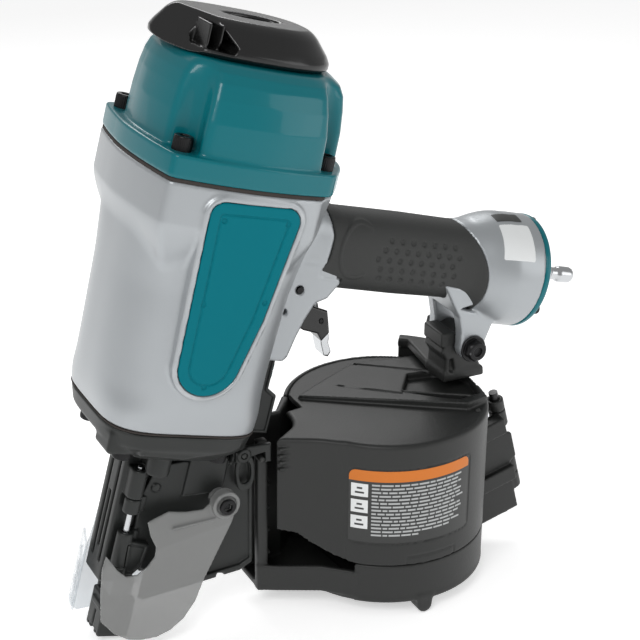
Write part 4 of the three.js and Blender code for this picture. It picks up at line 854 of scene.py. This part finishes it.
# ---------------------------------------------------------------- canister, in the standing frame
CAN_R = 64.3
LID_HINGE = (286, 41)
ARM_BOLT = (239.5, 150.6)
FLAP = [(104, -21.6), (136, -38), (150, -20), (146, 10), (128, -4), (110, -17)]
FAR_THROAT = [(132, 30), (120, 13.6), (94, 10), (94, 7.2), (122, 10.8), (135.5, 27)]
THROAT_FLOOR = [(94, -16), (94, 10), (120, 13.6), (134, 30), (146, 20), (150, -20), (146, -46), (128, -31),
                (104, -19)]
NEAR_THROAT = [(94, -16), (104, -21.6), (128, -33.6), (146, -50), (147, -46), (129, -30.6), (104, -18.6),
               (94, -13)]


def around(x, y):
    dx, dy = x - CAN[0], y - CAN[1]
    return np.hypot(dx, dy), np.degrees(np.arctan2(dy, dx)) % 360


def sector(angle, start, end):
    """Distance along the canister's wall to a stretch of it, negative inside."""
    off = (angle - (start + end) / 2 + 180) % 360 - 180
    return (np.abs(off) - (end - start) / 2) * math.radians(1) * CAN_R


def leg_hole(x, y, z):
    """The screw hole through the canister's wall and the bracket's leg."""
    turn = math.radians(36)
    across = np.hypot((x - CAN[0]) * math.sin(turn) - (y - CAN[1]) * math.cos(turn), z - 104)
    return np.maximum(across - 2.8, 40 - around(x, y)[0])


def hinge_frame(x, y, z):
    """Distances from the lid's slanted hinge, and height along it."""
    dx, dz = x - LID_HINGE[0], z - LID_HINGE[1]
    return dx * COS + dz * SIN, y - CAN[1], -dx * SIN + dz * COS


def knuckle(x, y, z, low, high, web):
    u, v, w = hinge_frame(x, y, z)
    barrel = extrude(np.hypot(u, v) - 5.6, w, low, high, 0.8)
    return carve(fuse(barrel, box(u, v, w, *web, 0.8), 1.5), np.hypot(u, v) - 3.25, 0.2)


def magazine_base(x, y, z):
    run, angle = around(x, y)
    band = np.abs(run - 63) - 1.3
    body = extrude(run - CAN_R, z, 9.7, 13, 1.2)
    body = fuse(body, np.maximum(extrude(band, z, 9.7, 35.7, 0.7), sector(angle, 226, 370)), 0.8)
    body = fuse(body, np.maximum(extrude(band, z, 9.7, 118.5, 0.7), sector(angle, 8, 150)), 0.8)
    for turn in range(66, 150, 20):
        rib = np.maximum(sector(angle, turn - 1, turn + 1), np.abs(run - 63.6) - 1.5)
        body = fuse(body, extrude(rib, z, 13, 112, 0.6), 1.2)
    for level in (26, 60, 88):
        body = fuse(body, np.maximum(extrude(np.abs(run - 63.4) - 1.5, z, level, level + 2, 0.6),
                                     sector(angle, 58, 148)), 1.2)
    body = fuse(body, extrude(polygon(x, y, FAR_THROAT), z, 16, 118.5, 0.8), 1.2)
    body = fuse(body, extrude(polygon(x, y, THROAT_FLOOR), z, 12.5, 16.5, 0.9), 1.2)
    body = fuse(body, extrude(polygon(x, y, NEAR_THROAT), z, 12.5, 30, 0.8), 1.2)
    body = fuse(body, box(x, y, z, 94, 101, -16, -10, 13, 116, 1.2), 2)
    for level in (36, 52, 68, 84):
        body = fuse(body, box(x, y, z, 95, 103, -15, -9, level, level + 2, 0.5), 1)
    body = fuse(body, box(x, y, z, 94, 98, -17, -14, 104, 110, 0.6), 1)
    body = fuse(body, rod(x, y, z, (94.8, -22, 106.5), (94.8, -15, 106.5), 1.8, 0.4), 0.4)
    for y0, y1 in ((-66.4, -54), (51, 62.8)):
        side = polygon(x, z, arc(185, 5, 5, -180, 0, 8) + [(191, 14), (179, 14)])
        body = fuse(body, extrude(side, y, y0, y1, 1.6), 1.4)
    lugs = np.minimum(knuckle(x, y, z, -8, 4, (-36, -2, -6, 5, -22, 3.6)),
                      knuckle(x, y, z, 54, 62, (-21, -2, 1, 10, 54, 62)))
    u, v, w = hinge_frame(x, y, z)
    fin = extrude(polygon(u, w, [(-36, -24), (-8, -26), (-3, -8), (-3, 3.4), (-34, 3.4)]), v, -1.6, 1.2, 0.6)
    body = fuse(body, np.minimum(lugs, fin), 1.2)
    body = carve(body, np.maximum(run - 61.4, 16.8 - z), 0.3)
    body = carve(body, np.maximum(run - 3.3, z - 20), 0.3)
    return carve(body, leg_hole(x, y, z), 0.3)


def cover_outline(x, y):
    run, _ = around(x, y)
    flat = fuse(run - CAN_R, polygon(x, y, FLAP), 9)
    limit = np.maximum((x - 122.8) * -0.766 + (y - 10) * 0.643, (x - 122.8) * -0.132 + (y - 10) * 0.991)
    return np.maximum(flat, np.where(x < 136.4, limit, -99))


def magazine_cover(x, y, z):
    run, angle = around(x, y)
    flat = cover_outline(x, y)
    body = extrude(flat, z, 0, 118.5, 2.6)
    body = carve(body, extrude(flat + 2.6, z, -9, 115.3, 0.8), 0.3)
    edge = np.interp(angle, [192, 199, 204, 213, 223, 228, 352], [57, 54, 47, 41, 36.6, 36.3, 36.3])
    wall = np.maximum(edge - z, sector(angle, 191.8, 352))
    body = np.maximum(body, np.minimum(115.3 - z, wall))
    body = carve(body, np.maximum(61.2 - run, sector(angle, -7, 150)), 0.3)
    # platform with its ribs, slots and the sunken part by the hinge
    plateau = polygon(x, y, [(139, 21), (227, -38), (243, -34), (248, 0), (237, 36), (190, 46), (156, 30)])
    top = 121 + np.clip((x - 139) / 90, 0, 1) * 2.6
    body = fuse(body, np.maximum(extrude(plateau, z, 112, 126, 0.2), z - top), 1.0)
    for ax, ay, bx, by in ((167, 22, 198, -7), (190, 45, 237, 5)):
        length = math.hypot(bx - ax, by - ay)
        ux, uy = (bx - ax) / length, (by - ay) / length
        along, across = (x - ax) * ux + (y - ay) * uy, (y - ay) * ux - (x - ax) * uy
        body = carve(body, np.maximum(np.maximum(np.abs(across) - 0.7,
                                                 np.abs(along - length / 2) - length / 2), top - 1.4 - z),
                     0.4)
    sunk = polygon(x, y, [(199, -5), (224, -31), (240, -29), (246, -8), (243, 2), (230, 12), (214, 15)])
    body = carve(body, extrude(sunk, z, 118.6, 130, 0.5), 1.2)
    rib = np.abs((x - 204) * 0.58 + (y + 6) * 0.81) - 0.9
    rib = np.maximum(np.maximum(rib, plateau + 2), np.maximum(z - top + 0.4, 116 - z))
    body = fuse(body, rib, 0.6)
    # seam tab, panel line and the ribbed pad by the latch
    tab = np.maximum(np.abs(sector(angle, 254.7, 284.6)) - 0.4, np.maximum(z - 42, 36 - z))
    line = np.maximum(np.abs(z - 42) - 0.4, sector(angle, 254.7, 284.6))
    panel = np.abs(extrude(sector(angle, 221.6, 295), z, 51.5, 102.5, 4)) - 0.35
    grooves = np.maximum(np.minimum(np.minimum(tab, line), panel), 63.75 - run)
    body = carve(body, grooves, 0.4)
    for level in (98, 102.5, 107, 111.5):
        body = fuse(body, box(x, y, z, 104.5, 112, -25.4, -21, level, level + 1.8, 0.5), 0.8)
    body = fuse(body, rod(x, y, z, (232, -41, 117), (232, -41, 120), 1.6, 0.5), 0.5)
    ears = np.minimum(knuckle(x, y, z, 4.3, 16, (-34, -2, -13, -3, 5, 16)),
                      knuckle(x, y, z, 42, 53.7, (-24, -2, -13, -3, 42, 53.7)))
    u, v, w = hinge_frame(x, y, z)
    strap = extrude(polygon(u, w, [(-24, 16), (-4, 16), (2.5, 20), (2.5, 38), (-4, 42), (-24, 42)]), v, -9.4,
                    -6.6, 0.6)
    ears = np.maximum(np.minimum(ears, strap), 61.6 - run)
    return fuse(body, ears, 1.2)


piece("magazine_body", magazine_base, (93, -67.5, -0.2), (295, 66, 119.5), 1.15, NYLON, "tool",
      ["magazine_base"], leaning=False, thin=0.6)
piece("magazine_lid", magazine_cover, (103, -67, 35), (293, 63, 125.5), 1.0, NYLON, "magazine_cover",
      ["magazine_cover"], leaning=False, thin=0.6)


def stickers(name, patches, proud, material):
    """Thin curved patches on the canister's wall, each (start, end, low, high, corner) in degrees and mm."""
    verts, faces = [], []
    for start, end, low, high, corner in patches:
        width = math.radians(end - start) * CAN_R
        steps = max(4, int(width / 2))
        place = np.linspace(0, width, steps + 1)
        if corner:
            place = np.unique(np.concatenate([place, corner * (1 - np.cos(np.linspace(0, math.pi / 2, 7))),
                                              width - corner * (1 - np.cos(np.linspace(0, math.pi / 2, 7)))]))
        inset = np.array([corner - math.sqrt(max(corner ** 2 - max(corner - min(p, width - p), 0) ** 2, 0))
                          for p in place]) if corner else np.zeros(len(place))
        first = len(verts)
        for p, cut in zip(place, inset):
            turn = math.radians(start) + p / CAN_R
            for radius, level in ((CAN_R - 0.3, low), (CAN_R + proud, low), (CAN_R + proud, high - cut),
                                  (CAN_R - 0.3, high - cut)):
                verts.append((CAN[0] + radius * math.cos(turn), CAN[1] + radius * math.sin(turn), level))
        count = len(place)
        for i in range(count - 1):
            a, b = first + 4 * i, first + 4 * i + 4
            faces += [(a + k, b + k, b + (k + 1) % 4, a + (k + 1) % 4) for k in range(4)]
        last = first + 4 * (count - 1)
        faces += [(first, first + 1, first + 2, first + 3), (last + 3, last + 2, last + 1, last)]
    mesh = mesh_from(name, to_row(np.array(verts), False), np.array(faces))
    mesh.polygons.foreach_set("use_smooth", np.zeros(len(mesh.polygons), bool))
    obj = bpy.data.objects.new(name, mesh)
    bpy.context.scene.collection.objects.link(obj)
    obj.data.materials.append(material)
    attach(obj, "magazine_cover")


def label_rows():
    """Short plain bars in rows: no words."""
    rng = np.random.default_rng(4)
    bars = []
    for row in range(15):
        high = 92.6 - row * 2.45
        end = 262 if row == 14 else 289.5 - rng.uniform(0, 9 if row % 2 else 2)
        turn = 234.6
        while turn < end - 1.5:
            stop = min(turn + rng.uniform(2.2, 6.5), end)
            bars.append((turn, stop, high - 1.15, high, 0))
            turn = stop + 0.75
    return bars


stickers("label_ground", [(221.9, 293.4, 52.6, 95, 0)], 0.06, LABEL_BLACK)
stickers("label_band", [(221.9, 293.4, 94.3, 101.6, 4.5)], 0.12, ORANGE)
stickers("label_rows", label_rows(), 0.12, PAPER_GREY)
stickers("label_squares", [(223.2, 232.6, low, low + 8.8, 0) for low in (83.6, 72.6, 61.6)], 0.12, PAPER)
stickers("label_marks", [(a, b, low, high, 0) for z in (83.6, 72.6, 61.6) for a, b, low, high in (
    (225.4, 230.4, z + 2.2, z + 3.4), (226.4, 229.4, z + 5.2, z + 6.4))], 0.2, LABEL_BLACK)


def magazine_bracket(x, y, z):
    run, angle = around(x, y)
    tongue = polygon(x, z, [(225.5, 127), (226, 141), (223, 146), (226, 158), (231, 158)]
                     + arc(*ARM_BOLT, 9, 120, -30, 8) + [(253.5, 127)])
    body = extrude(tongue, y, -11.4, 11.4, 1.6)
    body = fuse(body, box(x, y, z, 222.5, 232, -11.4, 11.4, 150, 159.5, 1), 1)
    body = carve(body, extrude(polygon(x, z, [(228.5, 131), (228.5, 141), (231, 141), (233, 131)]),
                               np.abs(y), 9, 20, 0.4), 0.8)
    bridge = polygon(x, y, [(225.5, -11.4), (253.5, -11.4)] + arc(*CAN, 70, 18, 54, 8)
                     + arc(*CAN, 62, 54, 48, 2) + [(225.5, 12)])
    body = fuse(body, extrude(bridge, z, 126, 132, 1.4), 3)
    leg = np.maximum(extrude(np.abs(run - 67.4) - 2.6, z, 92, 128, 0.8), sector(angle, 18, 54))
    body = fuse(body, leg, 2)
    for turn in (22, 50):
        web = np.abs(sector(angle, turn - 1, turn + 1)) - 0.2
        body = fuse(body, np.maximum(extrude(web, z, 96, 127, 0.5), np.abs(run - 69) - 2.2), 1)
    body = carve(body, leg_hole(x, y, z), 0.3)
    return carve(body, np.hypot(x - ARM_BOLT[0], z - ARM_BOLT[1]) - 4.3, 0.3)


piece("bracket", magazine_bracket, (214, -12, 91), (262, 62, 165), 0.9, NYLON, "tool", ["magazine_bracket"],
      leaning=False, thin=0.6)


def arm_bolt(x, y, z):
    u, w = x - ARM_BOLT[0], z - ARM_BOLT[1]
    body = rod(u, y, w, (0, -20.2, 0), (0, 29, 0), 4, 0.5)
    body = fuse(body, rod(u, y, w, (0, -21.7, 0), (0, -20.2, 0), 8.6, 0.4), 0.3)
    head = rod(u, y, w, (0, -27, 0), (0, -21.6, 0), 6.2, 0.7, sides=6)
    head = np.maximum(head, np.hypot(u, w) - 6.9 + np.clip(-25.6 - y, 0, 9))
    return carve(fuse(body, head, 0.3), rod(u, y, w, (0, -30, 0), (0, -25.2, 0), 3, 0.2), 0.4)


def arm_nut(x, y, z):
    u, w = x - ARM_BOLT[0], z - ARM_BOLT[1]
    nut = np.maximum(rod(u, y, w, (0, 20.3, 0), (0, 27, 0), 6.3, 0.6, sides=6), np.hypot(u, w) - 7.1)
    return carve(nut, np.hypot(u, w) - 4.2, 0.2)


piece("arm_screw", arm_bolt, (230, -27.5, 141), (249, 29.5, 160), 0.5, BOLT, "tool", ["arm_bolt"],
      leaning=False)
piece("arm_screw_nut", arm_nut, (231, 19.5, 142), (248, 27.5, 159), 0.5, BOLT, "tool", ["arm_nut"],
      leaning=False)


# ---------------------------------------------------------------- CAD pieces that stay
EDGE_WIDTH, EDGE_ANGLE = 0.0004, math.radians(35)
SLOT_FINISH = {"silver_paint": SILVER, "teal_paint": TEAL, "black_plastic": NYLON,
               "deflector_plastic": DEFLECTOR, "black_metal": BLACK_METAL, "grip_rubber": GRIP,
               "seal_rubber": SEAL, "bright_steel": STEEL, "bolt_steel": BOLT,
               "machined_aluminium": ALUMINIUM, "bumper_urethane": URETHANE, "clear_shield": SMOKE}
for name, obj in nodes.items():
    if obj.hide_render:
        continue
    slot = obj.data.materials[0].name.split(".")[0]
    obj.data.materials.clear()
    obj.data.materials.append(SLOT_FINISH[slot])
    bevel = obj.modifiers.new("edges", "BEVEL")
    bevel.width, bevel.segments, bevel.limit_method = EDGE_WIDTH, 2, "ANGLE"
    bevel.angle_limit = EDGE_ANGLE
    for face in obj.data.polygons:
        face.use_smooth = True
    bevel.harden_normals = True


# ---------------------------------------------------------------- stage
def area_light(name, place, target, size, power):
    light = bpy.data.lights.new(name, "AREA")
    light.shape = "RECTANGLE"
    light.size, light.size_y = size
    light.energy = power
    obj = bpy.data.objects.new(name, light)
    bpy.context.scene.collection.objects.link(obj)
    obj.location = place
    obj.rotation_mode = "QUATERNION"
    obj.rotation_quaternion = (Vector(target) - Vector(place)).to_track_quat("-Z", "Y")


def floor():
    count, reach = 24, 12.0
    axis = np.linspace(-reach, reach, count)
    verts = np.array([(a, b, 0.0) for a in axis for b in axis])
    faces = np.array([(i * count + j, (i + 1) * count + j, (i + 1) * count + j + 1, i * count + j + 1)
                      for i in range(count - 1) for j in range(count - 1)])
    obj = bpy.data.objects.new("floor", mesh_from("floor", verts, faces))
    bpy.context.scene.collection.objects.link(obj)
    paper = finish("floor_paper", srgb(250, 250, 250), 0.8, spread=0.005, grain=40, bump=0.0)
    shader = next(n for n in paper.node_tree.nodes if n.type == "BSDF_PRINCIPLED")
    shader.inputs["Emission Color"].default_value = (1.0, 1.0, 1.0, 1.0)
    shader.inputs["Emission Strength"].default_value = 0.5
    obj.data.materials.append(paper)
    obj.location.z = -0.0004


floor()
world = bpy.data.worlds.new("studio")
bpy.context.scene.world = world
world.use_nodes = True
world.node_tree.nodes["Background"].inputs["Color"].default_value = (1.0, 1.0, 1.0, 1.0)
world.node_tree.nodes["Background"].inputs["Strength"].default_value = 0.42
area_light("key", (-0.75, -0.75, 1.05), (0, 0, 0.18), (0.5, 0.5), 6.2)
area_light("fill", (0.9, -0.9, 0.5), (0, 0, 0.15), (0.7, 0.7), 2.5)
area_light("rim", (0.2, 0.9, 0.9), (0, 0, 0.2), (0.8, 0.4), 5)

AZIMUTH, ELEVATION, ROLL = math.radians(-26.87), math.radians(23.65), math.radians(0.52)
DISTANCE, LENS, SENSOR = 0.997, 93.37, 36
AIM = Vector((143.3 + SHIFT[0], 0.06 + SHIFT[1], 180.0 + SHIFT[2])) * MM
back = Vector((math.sin(AZIMUTH) * math.cos(ELEVATION), -math.cos(AZIMUTH) * math.cos(ELEVATION),
               math.sin(ELEVATION)))
right = Vector((0, 0, 1)).cross(back).normalized()
up = back.cross(right)
right, up = right * math.cos(ROLL) + up * math.sin(ROLL), up * math.cos(ROLL) - right * math.sin(ROLL)
camera = bpy.data.objects.new("camera", bpy.data.cameras.new("camera"))
camera.data.lens, camera.data.sensor_width = LENS, SENSOR
bpy.context.scene.collection.objects.link(camera)
place = AIM + back * DISTANCE
camera.matrix_world = Matrix([(right[i], up[i], back[i], place[i]) for i in range(3)] + [(0, 0, 0, 1)])
bpy.context.scene.camera = camera
bpy.context.scene.view_settings.view_transform = "Standard"
